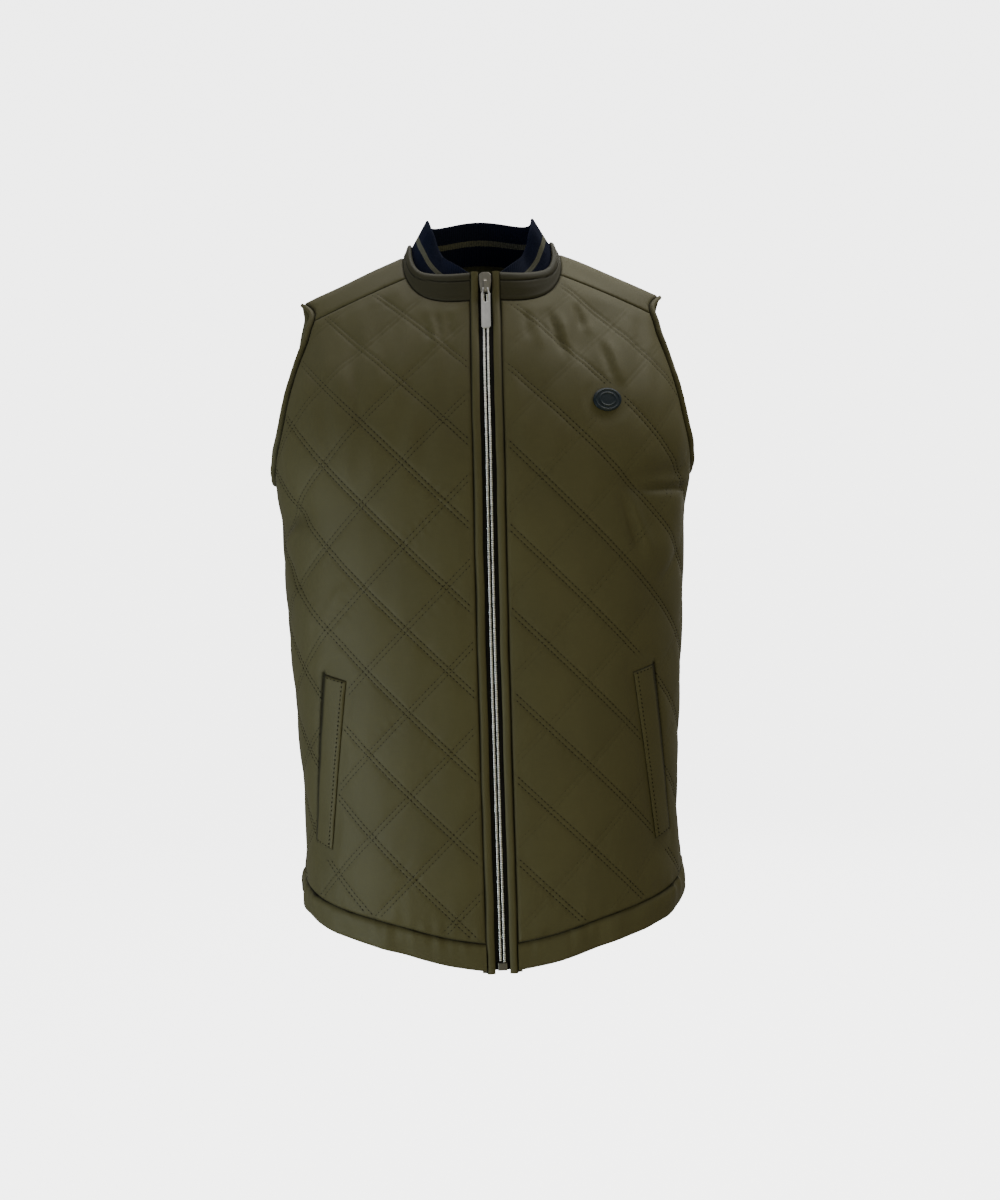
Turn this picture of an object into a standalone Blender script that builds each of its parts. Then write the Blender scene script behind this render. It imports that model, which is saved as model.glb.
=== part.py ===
"""Quilted sleeveless jacket with a stand collar, a front zip and two welt pockets.

Sizes are in millimetres, and the meshes are made in metres. The wearer faces -Y and +Z is up.
The origin is the middle of the neck opening, level with the shoulder ridge beside it.
The wearer's left is +X.
"""
import math
from collections import namedtuple

import bmesh
import bpy
import numpy as np
from mathutils import Vector
from mathutils.geometry import delaunay_2d_cdt

MM = 0.001

# The form the cloth hangs on: level rings, from below the hem up to the shoulder ridge
# drop is measured down from the ridge over the middle of the neck
Section = namedtuple("Section", "drop half_width front back")
SECTIONS = [
    Section(760, 174, 119, 114),
    Section(690, 177, 121, 116),
    Section(626, 179, 123, 117),
    Section(561, 175, 124, 116),
    Section(491, 178, 126, 115),
    Section(411, 183, 128, 117),
    Section(344, 187, 129, 121),
    Section(263, 191, 129, 127),
    Section(206, 199, 125, 131),
    Section(165, 196, 114, 130),
    Section(130, 193, 100, 124),
    Section(100, 190, 85, 113),
    Section(78, 188, 72, 101),
    Section(50, 185, 54, 80),
    Section(30, 184, 39, 60),
    Section(12, 183, 21, 34),
    Section(3, 183, 9, 14),
    Section(0, 183, 0, 0),
]
RING_SQUARENESS = 2.4
RIDGE_HEIGHT = 18.5
SHOULDER_SLOPE = 0.482
SHOULDER_ROUNDING = 50
DROOP_ENDS_AT_DROP = 206
LEVEL_STEPS = 150
ANGLE_STEPS = 61
SEARCH_TURNS = 60
SEARCH_ROW_STEP = 9
SEARCH_COLUMN_STEP = 5

# Seams laid on that form
SEAM_GAP = 0.3
FORWARD_SHOULDER_DROP = 25
BACK_YOKE_SEAM_HEIGHT = -84
NECK_HALF_WIDTH = 75
NECK_FRONT = -66
NECK_BACK = 44
NECK_SQUARENESS = 2.7
NECK_SEARCH_START = 0.93
HemRow = namedtuple("HemRow", "share_round height")
HEM = [
    HemRow(0.0, -658),
    HemRow(0.18, -651),
    HemRow(0.38, -639),
    HemRow(0.72, -623),
    HemRow(1.0, -609),
    HemRow(1.3, -607),
    HemRow(2.0, -613),
]
ArmholeRow = namedtuple("ArmholeRow", "height front back")
ARMHOLE = [
    ArmholeRow(-43, 0, 0),
    ArmholeRow(-52, 14, 17),
    ArmholeRow(-75, 27, 33),
    ArmholeRow(-106, 38, 45),
    ArmholeRow(-140, 48, 52),
    ArmholeRow(-175, 49, 49),
    ArmholeRow(-203, 32, 32),
    ArmholeRow(-214, 14, 14),
    ArmholeRow(-217, 0, 0),
]

# The cloth wall and its quilting
WALL = 3.0
QUILT_PERIOD = 75.0
QUILT_PUFF = 2.4
PUFF_ROUNDNESS = 2.5
QUILT_STITCHES = (0.0, 0.34, 0.66)
PUFF_FADE_AT_EDGE = 16.0
PLAIN_SPACING = 42.0
YOKE_SPACING = 26.0
EDGE_STEP = 15.0
LATTICE_MARGIN = 6.0
QuiltPhase = namedtuple("QuiltPhase", "across height")
QUILT_LEFT = QuiltPhase(47, -288)
QUILT_RIGHT = QuiltPhase(40, -235)
QUILT_BACK = QuiltPhase(0, -250)

# The largest folds: soft troughs (minus) and ridges (plus) across a panel
Fold = namedtuple("Fold", "across height turn length width depth")
FOLD_FULLNESS = 1.4
FOLDS_LEFT = [
    Fold(165, -218, 4, 120, 11, -5.0),
    Fold(176, -262, 68, 110, 22, 4.0),
    Fold(92, -70, 72, 90, 13, -2.5),
]
FOLDS_RIGHT = [
    Fold(205, -246, -12, 100, 12, -5.0),
    Fold(180, -330, 42, 110, 20, 3.5),
    Fold(130, -140, 84, 110, 16, 2.5),
]
FOLDS_BACK = [
    Fold(130, -270, 28, 190, 22, -4.0),
    Fold(-130, -270, -28, 190, 22, -4.0),
    Fold(60, -430, 70, 240, 26, 3.0),
]

# The front opening, from the middle outwards
CHAIN_HALF_WIDTH = 2.8
TAPE_INNER = 0.4
STRIP_INNER = 6.7
STRIP_OUTER = 14.0
FRONT_EDGE = STRIP_OUTER + SEAM_GAP
TAPE_OUTER = 13.7
TAPE_THICK = 0.6
STRIP_BOTTOM = 0.9
STRIP_TOP = 3.2
CHAIN_BOTTOM = 0.9
CHAIN_TOP = 3.0
CHAIN_BEVEL = 0.6
STRIP_BEVEL = 1.0
STRIP_BEVEL_SHARE = 0.25
ZIP_STATIONS = 30
STATIONS_NEAR_NECK = (-12, -6, -2, 2, 6, 12, 20)
BODY_STATIONS_STOP = 22
OPENING_STEP = 1.0
OPENING_SMOOTHING = 4

# Hem band, armhole binding, collar
# A band's section goes once round it: share of its width from its free edge, or of its height,
# then how much of its wall and of its bulge lies under the point
BandPoint = namedtuple("BandPoint", "share_along share_of_wall share_of_bulge")
HEM_BAND = 25.0
HEM_BULGE = 1.9
HEM_STEP = 17.0
HEM_SECTION = [
    BandPoint(1.0, 0.0, 0.0),
    BandPoint(0.5, -0.1, 0.0),
    BandPoint(0.08, 0.07, 0.0),
    BandPoint(0.0, 0.5, 0.0),
    BandPoint(0.06, 1.0, 0.5),
    BandPoint(0.35, 1.0, 1.0),
    BandPoint(0.72, 1.0, 1.0),
    BandPoint(1.0, 1.0, 0.0),
]
BINDING_WIDTH = 7.0
BINDING_BULGE = 0.9
BINDING_SECTION = [
    BandPoint(1.0, 0.0, 0.0),
    BandPoint(1.0, 1.0, 0.0),
    BandPoint(0.55, 1.0, 1.0),
    BandPoint(0.15, 0.9, 0.0),
    BandPoint(0.0, 0.5, 0.0),
    BandPoint(0.2, 0.03, 0.0),
]
COLLAR_HEIGHT = 28.0
COLLAR_WALL = 2.6
COLLAR_BULGE = 0.4
NECK_STEP = 9.0
COLLAR_FILLET = 5.0
COLLAR_SECTION = [
    BandPoint(0.0, 0.0, 0.0),
    BandPoint(0.18, 0.0, 0.0),
    BandPoint(0.5, 0.0, 0.0),
    BandPoint(0.96, 0.04, 0.0),
    BandPoint(1.0, 0.5, 0.0),
    BandPoint(0.96, 1.0, 0.0),
    BandPoint(0.5, 1.0, 1.0),
    BandPoint(0.18, 1.0, 0.0),
    BandPoint(0.0, 1.0, 1.0),
]
RIB_WALL = 2.0
RIB_CLEARANCE = 0.8
RIB_RELIEF = 0.45
RIB_PITCH = 5.0
RIB_EDGE = 0.8
CollarRow = namedtuple("CollarRow", "share_round band_lean band_height rib_lean rib_height")
COLLAR = [
    CollarRow(0.0, 9, COLLAR_HEIGHT, 9, 28.4),
    CollarRow(0.06, 11, COLLAR_HEIGHT, 16, 39),
    CollarRow(0.17, 18, 27, 30, 53),
    CollarRow(0.3, 24, 20, 30, 54),
    CollarRow(0.5, 30, 16, 31, 46),
    CollarRow(0.75, 22, 18, 25, 42),
    CollarRow(1.0, 14, 20, 16, 41),
]

# Pocket welts and badge, laid over the fronts
WELT_SHIFT = -2.5
WELT_TOP_ACROSS = 145.0
WELT_BOTTOM_ACROSS = 169.0
WELT_TOP = -391.0
WELT_BOTTOM = -548.0
WELT_WIDTH = 22.0
WELT_SKEW = 5.0
WELT_LIFT = 0.9
WELT_THICK = 2.2
WELT_STEPS = 10
WeltPoint = namedtuple("WeltPoint", "share_across share_of_thickness")
WELT_SECTION = [
    WeltPoint(-0.5, 0.0),
    WeltPoint(0.5, 0.0),
    WeltPoint(0.5, 0.6),
    WeltPoint(0.3, 1.0),
    WeltPoint(-0.3, 1.0),
    WeltPoint(-0.5, 0.6),
]
BADGE_ACROSS = 110.0
BADGE_HEIGHT = -145.0
BADGE_RADIUS = 13.5
BADGE_TALL_SHARE = 0.82
BADGE_LIFT = 0.9
BADGE_THICK = 1.5
BADGE_RING_RISE = 0.5
BADGE_SIDES = 28
BadgeRing = namedtuple("BadgeRing", "share_of_radius share_of_thickness share_of_rise")
BADGE_SECTION = [
    BadgeRing(0.42, 0, 0),
    BadgeRing(1.0, 0, 0),
    BadgeRing(1.0, 1, 0),
    BadgeRing(0.86, 1, 1),
    BadgeRing(0.72, 1, 0),
    BadgeRing(0.56, 1, 1),
    BadgeRing(0.42, 1, 0),
]
TRIM_CLEARANCE = 27.0

# Zip slider, pull tab and retainer box, in a frame with its own up and outward axes
SLIDER_FROM_NECK = 8.0
SLIDER_LENGTH = 19.0
SLIDER_HALF_TOP = 5.6
SLIDER_HALF_BOTTOM = 4.2
SLIDER_BOTTOM = 0.9
SLIDER_TOP = 4.4
SLIDER_BEVEL = 0.7
SLIDER_CROWN = 0.86
SLIDER_NOSE = 0.6
SLIDER_SHOULDER = 0.55
SLIDER_NOSE_STARTS = 0.9
BRIDGE_HALF_WIDTH = 1.3
BRIDGE_LOW = 0.2
BRIDGE_HIGH = 12.5
BRIDGE_RISE = 3.4
BRIDGE_BAR = 1.2
BRIDGE_SINK = 0.5
BRIDGE_CORNER = 0.8
BRIDGE_BACK_SLOPE = 3.0
BRIDGE_BACK_BAR = 3.6
BRIDGE_EYE_SLOPE = 1.4
PULL_AXIS_UP = 2.8
PULL_AXIS_OUT = 5.5
PULL_LENGTH = 42.0
PULL_HALF_WIDTH = 4.3
PULL_THICK = 1.2
PULL_BAR = 0.8
PULL_NECK_HALF_WIDTH = 2.9
PULL_NECK_ENDS = 2.2
PULL_SHOULDER = 5.4
PULL_SLOT_LENGTH = 14.5
PULL_SLOT_HALF_WIDTH = 2.3
SLOT_NECK_HALF_WIDTH = 1.8
SLOT_NECK_ENDS = 3.0
SLOT_SHOULDER = 5.8
PULL_LEAN = 24.5
PULL_CORNER_WIDTH = 1.4
PULL_CORNER_LENGTH = 2.0
SLOT_ROUND_STARTS = 1.5
SLOT_END_SHARE = 0.3
BOX_LENGTH = 7.0
BOX_HALF_WIDTH = 4.2
BOX_TOP = 4.0
BOX_FROM_HEM = 3.0
BOX_BEVEL = 0.6
BOX_CROWN = 0.85

# The garment hangs a little off its middle: sideways shift of everything at a height
Hang = namedtuple("Hang", "height sideways")
HANG = [
    Hang(-700, 0),
    Hang(-200, 0),
    Hang(-110, 1.5),
    Hang(-45, 4),
    Hang(60, 4),
]

# Colours: linear red, green, blue
OLIVE = (0.058, 0.052, 0.022)
NAVY = (0.012, 0.015, 0.024)
BLACK = (0.008, 0.008, 0.008)
SILVER = (0.62, 0.61, 0.59)


def clear_scene():
    for thing in list(bpy.data.objects):
        bpy.data.objects.remove(thing, do_unlink=True)


def make_material(name, colour, roughness, metallic):
    material = bpy.data.materials.new(name)
    material.use_nodes = True
    shader = material.node_tree.nodes["Principled BSDF"]
    shader.inputs["Base Color"].default_value = (*colour, 1.0)
    shader.inputs["Roughness"].default_value = roughness
    shader.inputs["Metallic"].default_value = metallic
    return material


def hung(points):
    """Points with the garment's sideways hang."""
    points = np.array(points, float)
    points[:, 0] += smooth_curve([row.height for row in HANG], [row.sideways for row in HANG], points[:, 2])
    return points


def make_object(name, points, faces, material, origin=(0, 0, 0)):
    """Make one closed body from points in millimetres, with its faces turned outwards."""
    mesh = bpy.data.meshes.new(name)
    origin = hung([origin])[0] if any(origin) else np.zeros(3)
    mesh.from_pydata([tuple(point) for point in (hung(points) - origin) * MM], [], faces)
    work = bmesh.new()
    work.from_mesh(mesh)
    bmesh.ops.recalc_face_normals(work, faces=work.faces)
    work.to_mesh(mesh)
    work.free()
    mesh.materials.append(material)
    made = bpy.data.objects.new(name, mesh)
    made.location = Vector(origin * MM)
    bpy.context.scene.collection.objects.link(made)
    return made


def smooth_curve(knots, values, at):
    """Cubic curve through the values at the knots."""
    knots = np.asarray(knots, float)
    values = np.asarray(values, float)
    slopes = np.gradient(values, knots, axis=0)
    step = np.clip(np.searchsorted(knots, at) - 1, 0, len(knots) - 2)
    length = knots[step + 1] - knots[step]
    share = (at - knots[step]) / length
    if values.ndim > 1:
        length = length[:, None]
        share = share[:, None]
    start = values[step] * (1 + 2 * share) * (1 - share) ** 2
    end = values[step + 1] * share ** 2 * (3 - 2 * share)
    leave = slopes[step] * length * share * (1 - share) ** 2
    arrive = slopes[step + 1] * length * share ** 2 * (share - 1)
    return start + end + leave + arrive


def ease(share):
    share = np.clip(share, 0.0, 1.0)
    return share * share * (3 - 2 * share)


def fine_sections():
    """The section table drawn out smoothly, row by row, up to a ridge that is round on top."""
    rows = [np.array(row, float) for row in SECTIONS]
    before_ridge = Section(*rows[-2])
    over_ridge = Section(before_ridge.drop, before_ridge.half_width, -before_ridge.front, -before_ridge.back)
    rows.append(np.array(over_ridge, float))
    rows = np.array(rows)
    drop, _, front, back = rows.T
    steps = np.hypot(np.diff(drop), np.diff(front + back) / 2)
    knots = np.concatenate([[0], np.cumsum(steps)])
    return smooth_curve(knots, rows, np.linspace(0, knots[-2], LEVEL_STEPS))


class Half:
    """The front or the back of the form, as a grid of rings (rows) and angles (columns).

    round is the arc length along a ring from the middle; up is the arc length along a meridian;
    turn goes from 0 at the middle to 1 at the side.
    """

    def __init__(self, facing):
        drop, half_width, front, back = fine_sections().T
        depth = front if facing < 0 else back
        angle = np.linspace(0, math.pi / 2, ANGLE_STEPS)
        power = 2 / RING_SQUARENESS
        x = half_width[:, None] * np.sin(angle) ** power
        y = facing * np.clip(depth, 0, None)[:, None] * np.abs(np.cos(angle)) ** power
        y[:, -1] = 0.0
        droop = SHOULDER_SLOPE * (np.hypot(x, SHOULDER_ROUNDING) - SHOULDER_ROUNDING)
        z = RIDGE_HEIGHT - drop[:, None] - droop * ease(1 - drop / DROOP_ENDS_AT_DROP)[:, None]
        self.facing = facing
        self.turn = np.repeat(np.linspace(0, 1, ANGLE_STEPS)[None], LEVEL_STEPS, axis=0)
        self.points = np.stack([x, y, z], axis=2)
        self.x, self.y, self.z = x, y, z
        self.drop = np.repeat(drop[:, None], ANGLE_STEPS, axis=1)
        along = np.linalg.norm(np.diff(self.points, axis=1), axis=2)
        upward = np.linalg.norm(np.diff(self.points, axis=0), axis=2)
        self.round = np.concatenate([np.zeros((LEVEL_STEPS, 1)), np.cumsum(along, axis=1)], axis=1)
        climb = np.concatenate([np.zeros((1, ANGLE_STEPS)), np.cumsum(upward, axis=0)], axis=0)
        self.up = climb + z[0]
        self.from_ridge = climb[-1] - climb
        outward = np.cross(np.gradient(self.points, axis=1), np.gradient(self.points, axis=0))
        outward *= -facing
        self.normals = outward / np.linalg.norm(outward, axis=2)[:, :, None]

    def cell(self, row, column):
        row0 = np.clip(np.floor(row).astype(int), 0, LEVEL_STEPS - 2)
        column0 = np.clip(np.floor(column).astype(int), 0, ANGLE_STEPS - 2)
        return row0, column0, row - row0, column - column0

    def read(self, grid, row, column):
        row0, column0, down, across = self.cell(row, column)
        if grid.ndim > 2:
            down = down[:, None]
            across = across[:, None]
        low = grid[row0, column0] * (1 - across) + grid[row0, column0 + 1] * across
        high = grid[row0 + 1, column0] * (1 - across) + grid[row0 + 1, column0 + 1] * across
        return low * (1 - down) + high * down

    def slopes(self, grid, row, column):
        row0, column0, down, across = self.cell(row, column)
        a = grid[row0, column0]
        b = grid[row0 + 1, column0]
        c = grid[row0, column0 + 1]
        d = grid[row0 + 1, column0 + 1]
        return (b - a) * (1 - across) + (d - c) * across, (c - a) * (1 - down) + (d - b) * down

    def find(self, grid_a, value_a, grid_b, value_b, start=0.6):
        """Where on the grid two of its measures have these values, by Newton's method.

        start is the share of the way up from which the search sets out.
        """
        row = np.full(len(value_a), LEVEL_STEPS * start)
        column = np.full(len(value_a), ANGLE_STEPS * 0.5)
        for _ in range(SEARCH_TURNS):
            miss_a = self.read(grid_a, row, column) - value_a
            miss_b = self.read(grid_b, row, column) - value_b
            a_row, a_column = self.slopes(grid_a, row, column)
            b_row, b_column = self.slopes(grid_b, row, column)
            size = a_row * b_column - a_column * b_row
            size = np.where(np.abs(size) < 1e-9, 1e-9, size)
            row_step = (miss_a * b_column - miss_b * a_column) / size
            column_step = (miss_b * a_row - miss_a * b_row) / size
            row = np.clip(row - np.clip(row_step, -SEARCH_ROW_STEP, SEARCH_ROW_STEP), 0, LEVEL_STEPS - 1)
            column_step = np.clip(column_step, -SEARCH_COLUMN_STEP, SEARCH_COLUMN_STEP)
            column = np.clip(column - column_step, 0, ANGLE_STEPS - 1)
        return row, column

    def place(self, across, up):
        """Points and normals at signed arc lengths from the middle and heights up the cloth."""
        across = np.asarray(across, float)
        row, column = self.find(self.round, np.abs(across), self.up, np.asarray(up, float))
        return self.pick(row, column, np.sign(across))

    def pick(self, row, column, side):
        points = self.read(self.points, row, column)
        normals = self.read(self.normals, row, column)
        normals = normals / np.linalg.norm(normals, axis=1)[:, None]
        turn = np.stack([np.where(side < 0, -1.0, 1.0), np.ones(len(row)), np.ones(len(row))], axis=1)
        return points * turn, normals * turn


FRONT = Half(-1)
BACK = Half(1)


def even_steps(points, step):
    """The same line with its points spread evenly, about a step apart."""
    points = np.asarray(points, float)
    reach = np.concatenate([[0], np.cumsum(np.linalg.norm(np.diff(points, axis=0), axis=1))])
    count = max(2, int(round(reach[-1] / step)) + 1)
    at = np.linspace(0, reach[-1], count)
    return np.stack([np.interp(at, reach, column) for column in points.T], axis=1)


def join_lines(*lines):
    """One closed outline from lines that each start where the last one ends."""
    return np.concatenate([line[:-1] for line in lines])


def inset(outline, distance):
    """The outline moved inwards, whichever way round it runs."""
    ahead = np.roll(outline, -1, axis=0) - outline
    ahead /= np.linalg.norm(ahead, axis=1)[:, None]
    behind = np.roll(ahead, 1, axis=0)
    x, y = outline.T
    turn = np.sign(np.sum(x * np.roll(y, -1) - y * np.roll(x, -1)))
    inward = turn * np.stack([-(ahead + behind)[:, 1], (ahead + behind)[:, 0]], axis=1)
    inward /= np.linalg.norm(inward, axis=1)[:, None]
    corner = np.clip(np.abs(np.sum(inward * np.stack([-ahead[:, 1], ahead[:, 0]], axis=1), axis=1)), 0.5, 1)
    return outline + inward * distance / corner[:, None]


def depth_inside(points, outline):
    """Distance of each point from the outline, minus when it is outside."""
    start = outline
    edge = np.roll(outline, -1, axis=0) - start
    offset = points[:, None, :] - start[None]
    share = np.clip(np.sum(offset * edge, axis=2) / np.sum(edge * edge, axis=1), 0, 1)
    distance = np.linalg.norm(offset - share[:, :, None] * edge, axis=2).min(axis=1)
    low = start[:, 1]
    high = low + edge[:, 1]
    height = points[:, 1][:, None]
    crosses = (low <= height) != (high <= height)
    with np.errstate(divide="ignore", invalid="ignore"):
        where = start[:, 0] + (height - low) / edge[:, 1] * edge[:, 0]
    inside = np.sum(crosses & (points[:, 0][:, None] < where), axis=1) % 2 == 1
    return np.where(inside, distance, -distance)


def grid_points(outline, spacing):
    """A plain triangular grid of points inside an outline."""
    low = outline.min(axis=0)
    high = outline.max(axis=0)
    points = []
    for line, y in enumerate(np.arange(low[1], high[1], spacing * math.sqrt(0.75))):
        shift = spacing / 2 * (line % 2)
        points.extend((x, y) for x in np.arange(low[0] + shift, high[0], spacing))
    points = np.array(points)
    return points[depth_inside(points, outline) > spacing / 3]


def quilt_points(outline, phase):
    """Points on the sewn diamond rows and on the pillows between them."""
    row_spacing = QUILT_PERIOD / math.sqrt(2)
    reach = int(np.abs(outline).max() * 2 / row_spacing) + 2
    stops = [(k + share) * row_spacing for k in range(-reach, reach) for share in QUILT_STITCHES]
    rising, falling = [grid.ravel() for grid in np.meshgrid(stops, stops)]
    across = phase.across + (rising + falling) / math.sqrt(2)
    height = phase.height + (rising - falling) / math.sqrt(2)
    points = np.stack([across, height], axis=1)
    low = outline.min(axis=0)
    high = outline.max(axis=0)
    points = points[np.all((points > low) & (points < high), axis=1)]
    return points[depth_inside(points, outline) > LATTICE_MARGIN]


def quilt_puff(points, phase):
    """How far the padding lifts the cloth between the sewn rows, from 0 to 1."""
    row_spacing = QUILT_PERIOD / math.sqrt(2)
    across = points[:, 0] - phase.across
    height = points[:, 1] - phase.height
    puff = np.ones(len(points))
    for distance in ((across + height) / math.sqrt(2), (across - height) / math.sqrt(2)):
        share = np.abs((distance / row_spacing + 0.5) % 1.0 - 0.5) * 2
        puff *= 1 - (1 - share) ** PUFF_ROUNDNESS
    return puff


def fold_lift(points, folds):
    lift = np.zeros(len(points))
    for fold in folds:
        turn = math.radians(fold.turn)
        across = points[:, 0] - fold.across
        height = points[:, 1] - fold.height
        along = across * math.cos(turn) + height * math.sin(turn)
        beside = height * math.cos(turn) - across * math.sin(turn)
        taper = np.clip(1 - np.abs(along) / (fold.length / 2), 0, 1)
        lift += fold.depth * ease(taper * FOLD_FULLNESS) * np.exp(-(beside / fold.width) ** 2)
    return lift


def other_side(folds):
    """The same folds on the wearer's right."""
    return [fold._replace(across=-fold.across, turn=-fold.turn) for fold in folds]


def triangulate(outline, inside):
    """Triangles that fill an outline through the points inside it, outline points first."""
    count = len(outline)
    points = [Vector(point) for point in np.concatenate([outline, inside])]
    edges = [(index, (index + 1) % count) for index in range(count)]
    made, _, faces, sources, _, _ = delaunay_2d_cdt(points, edges, [], 1, 1e-6)
    source = [group[0] for group in sources]
    return [tuple(source[corner] for corner in face) for face in faces], len(points)


def build_sheet(name, material, outline, outer_inside, inner_inside, place_outer, place_inner):
    """One cloth panel: an outer face with relief, a plain inner face and a rim round both."""
    outer_faces, outer_count = triangulate(outline, outer_inside)
    inner_faces, _ = triangulate(outline, inner_inside)
    outer = place_outer(np.concatenate([outline, outer_inside]))
    inner = place_inner(np.concatenate([outline, inner_inside]))
    faces = list(outer_faces)
    faces += [tuple(corner + outer_count for corner in reversed(face)) for face in inner_faces]
    count = len(outline)
    for index in range(count):
        after = (index + 1) % count
        faces.append((index, outer_count + index, outer_count + after, after))
    return make_object(name, np.concatenate([outer, inner]), faces, material)


def sweep(name, material, rings, closed=False):
    """A body from rings of points that each have the same count, capped at its ends if open."""
    sides = len(rings[0])
    points = np.concatenate(rings)
    faces = []
    last = len(rings) if closed else len(rings) - 1
    for ring in range(last):
        low = ring * sides
        high = (ring + 1) % len(rings) * sides
        for side in range(sides):
            after = (side + 1) % sides
            faces.append((low + side, low + after, high + after, high + side))
    if not closed:
        faces.append(tuple(range(sides)))
        faces.append(tuple(range((len(rings) - 1) * sides, len(rings) * sides)))
    return make_object(name, points, faces, material)


class Line:
    """A line on one half of the form, kept as grid positions."""

    def __init__(self, half, row, column):
        self.half = half
        self.row = np.asarray(row, float)
        self.column = np.asarray(column, float)

    def read(self, name):
        return self.half.read(getattr(self.half, name), self.row, self.column)

    def solid(self):
        return self.half.pick(self.row, self.column, np.ones(len(self.row)))

    def turned(self):
        return Line(self.half, self.row[::-1], self.column[::-1])

    def at(self, index):
        whole = np.arange(len(self.row))
        return Line(self.half, np.interp(index, whole, self.row), np.interp(index, whole, self.column))

    def cut(self, name, start=None, end=None):
        """The part of the line between two values of a measure that only rises or only falls."""
        values = self.read(name)
        whole = np.arange(len(values), dtype=float)
        order = 1 if values[-1] > values[0] else -1
        first = 0.0 if start is None else np.interp(start, values[::order], whole[::order])
        last = whole[-1] if end is None else np.interp(end, values[::order], whole[::order])
        between = whole[(whole > first) & (whole < last)]
        return self.at(np.concatenate([[first], between, [last]]))

    def even(self, step):
        """The same line with its points about a step apart."""
        points, _ = self.solid()
        reach = np.concatenate([[0], np.cumsum(np.linalg.norm(np.diff(points, axis=0), axis=1))])
        count = max(2, int(round(reach[-1] / step)) + 1)
        whole = np.arange(len(reach))
        return self.at(np.interp(np.linspace(0, reach[-1], count), reach, whole))

    def flat(self):
        """Across and up, in the half's own arc lengths."""
        return np.stack([self.read("round"), self.read("up")], axis=1)

    def flat_yoke(self):
        """Across, and back from the ridge, in arc lengths."""
        return np.stack([self.read("round"), self.half.facing * self.read("from_ridge")], axis=1)


def neck_part(half):
    """Half of the neck seam: front middle to the ridge, or the ridge to the back middle."""
    power = 2 / NECK_SQUARENESS
    middle = (NECK_FRONT + NECK_BACK) / 2
    depth = (NECK_BACK - NECK_FRONT) / 2
    at_ridge = math.acos(-math.copysign((abs(middle) / depth) ** (1 / power), -middle))
    angle = np.linspace(0, at_ridge, 181) if half.facing < 0 else np.linspace(at_ridge, math.pi, 181)
    cosine = np.cos(angle)
    x = NECK_HALF_WIDTH * np.abs(np.sin(angle)) ** power
    y = middle - depth * np.sign(cosine) * np.abs(cosine) ** power
    return Line(half, *half.find(half.x, x, half.y, y, start=NECK_SEARCH_START))


def armhole_part(half):
    """Half of the left armhole's seam, from the shoulder down to the side seam."""
    front = [(-row.front, row.height) for row in ARMHOLE]
    back = [(row.back, row.height) for row in ARMHOLE]
    side_view = front if half.facing < 0 else back
    beyond = back if half.facing < 0 else front
    loop = np.array(beyond[2:0:-1] + side_view + beyond[-2:-4:-1], float)
    knots = np.concatenate([[0], np.cumsum(np.linalg.norm(np.diff(loop, axis=0), axis=1))])
    seen = smooth_curve(knots, loop, np.linspace(knots[2], knots[-3], 241))
    return Line(half, *half.find(half.y, seen[:, 0], half.z, seen[:, 1]))


def hem_height(share_round):
    shares = [row.share_round for row in HEM]
    return smooth_curve(shares, [row.height for row in HEM], np.asarray(share_round, float))


def hem_part(half, above, start=0.0):
    """The hem moved up the cloth, from near the middle to just short of the side seam."""
    share = np.linspace(0, 1, 101)
    row, column = half.find(half.z, np.full(1, hem_height(1.0) + above), half.turn, np.ones(1))
    side = half.read(half.round, row, column)[0]
    across = start + share * (side - start)
    share_round = across / side if half.facing < 0 else 2 - across / side
    return Line(half, *half.find(half.z, hem_height(share_round) + above, half.round, across))


def side_part(half, bottom, top):
    """The side seam, upwards between two heights."""
    height = np.linspace(bottom, top, 81)
    return Line(half, *half.find(half.z, height, half.turn, np.ones(len(height))))


def level_part(half, start, end):
    """A seam straight across one half's grid between two single-point lines."""
    share = np.linspace(0, 1, 61)
    row = start.row[0] + share * (end.row[0] - start.row[0])
    column = start.column[0] + share * (end.column[0] - start.column[0])
    return Line(half, row, column)


NECK_ON_FRONT = neck_part(FRONT)
NECK_ON_BACK = neck_part(BACK)
ARM_ON_FRONT = armhole_part(FRONT)
ARM_ON_BACK = armhole_part(BACK)
NECK_OF_PANEL = NECK_ON_FRONT.cut("round", start=FRONT_EDGE).cut("drop", end=FORWARD_SHOULDER_DROP)
NECK_OF_YOKE = NECK_ON_FRONT.cut("drop", start=FORWARD_SHOULDER_DROP)
ARM_OF_YOKE = ARM_ON_FRONT.cut("drop", end=FORWARD_SHOULDER_DROP)
ARM_OF_PANEL = ARM_ON_FRONT.cut("drop", start=FORWARD_SHOULDER_DROP)
ARM_OF_BACK_YOKE = ARM_ON_BACK.cut("z", end=BACK_YOKE_SEAM_HEIGHT)
ARM_OF_BACK = ARM_ON_BACK.cut("z", start=BACK_YOKE_SEAM_HEIGHT)
SHOULDER = level_part(FRONT, NECK_OF_YOKE, ARM_OF_PANEL)


def back_yoke_seam():
    """The seam across the back at one height, from the middle to the armhole."""
    reach = ARM_OF_BACK.read("round")[0]
    across = np.linspace(0, reach, 101)
    height = np.full(len(across), BACK_YOKE_SEAM_HEIGHT)
    return Line(BACK, *BACK.find(BACK.z, height, BACK.round, across))


BACK_YOKE_SEAM = back_yoke_seam()


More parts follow.
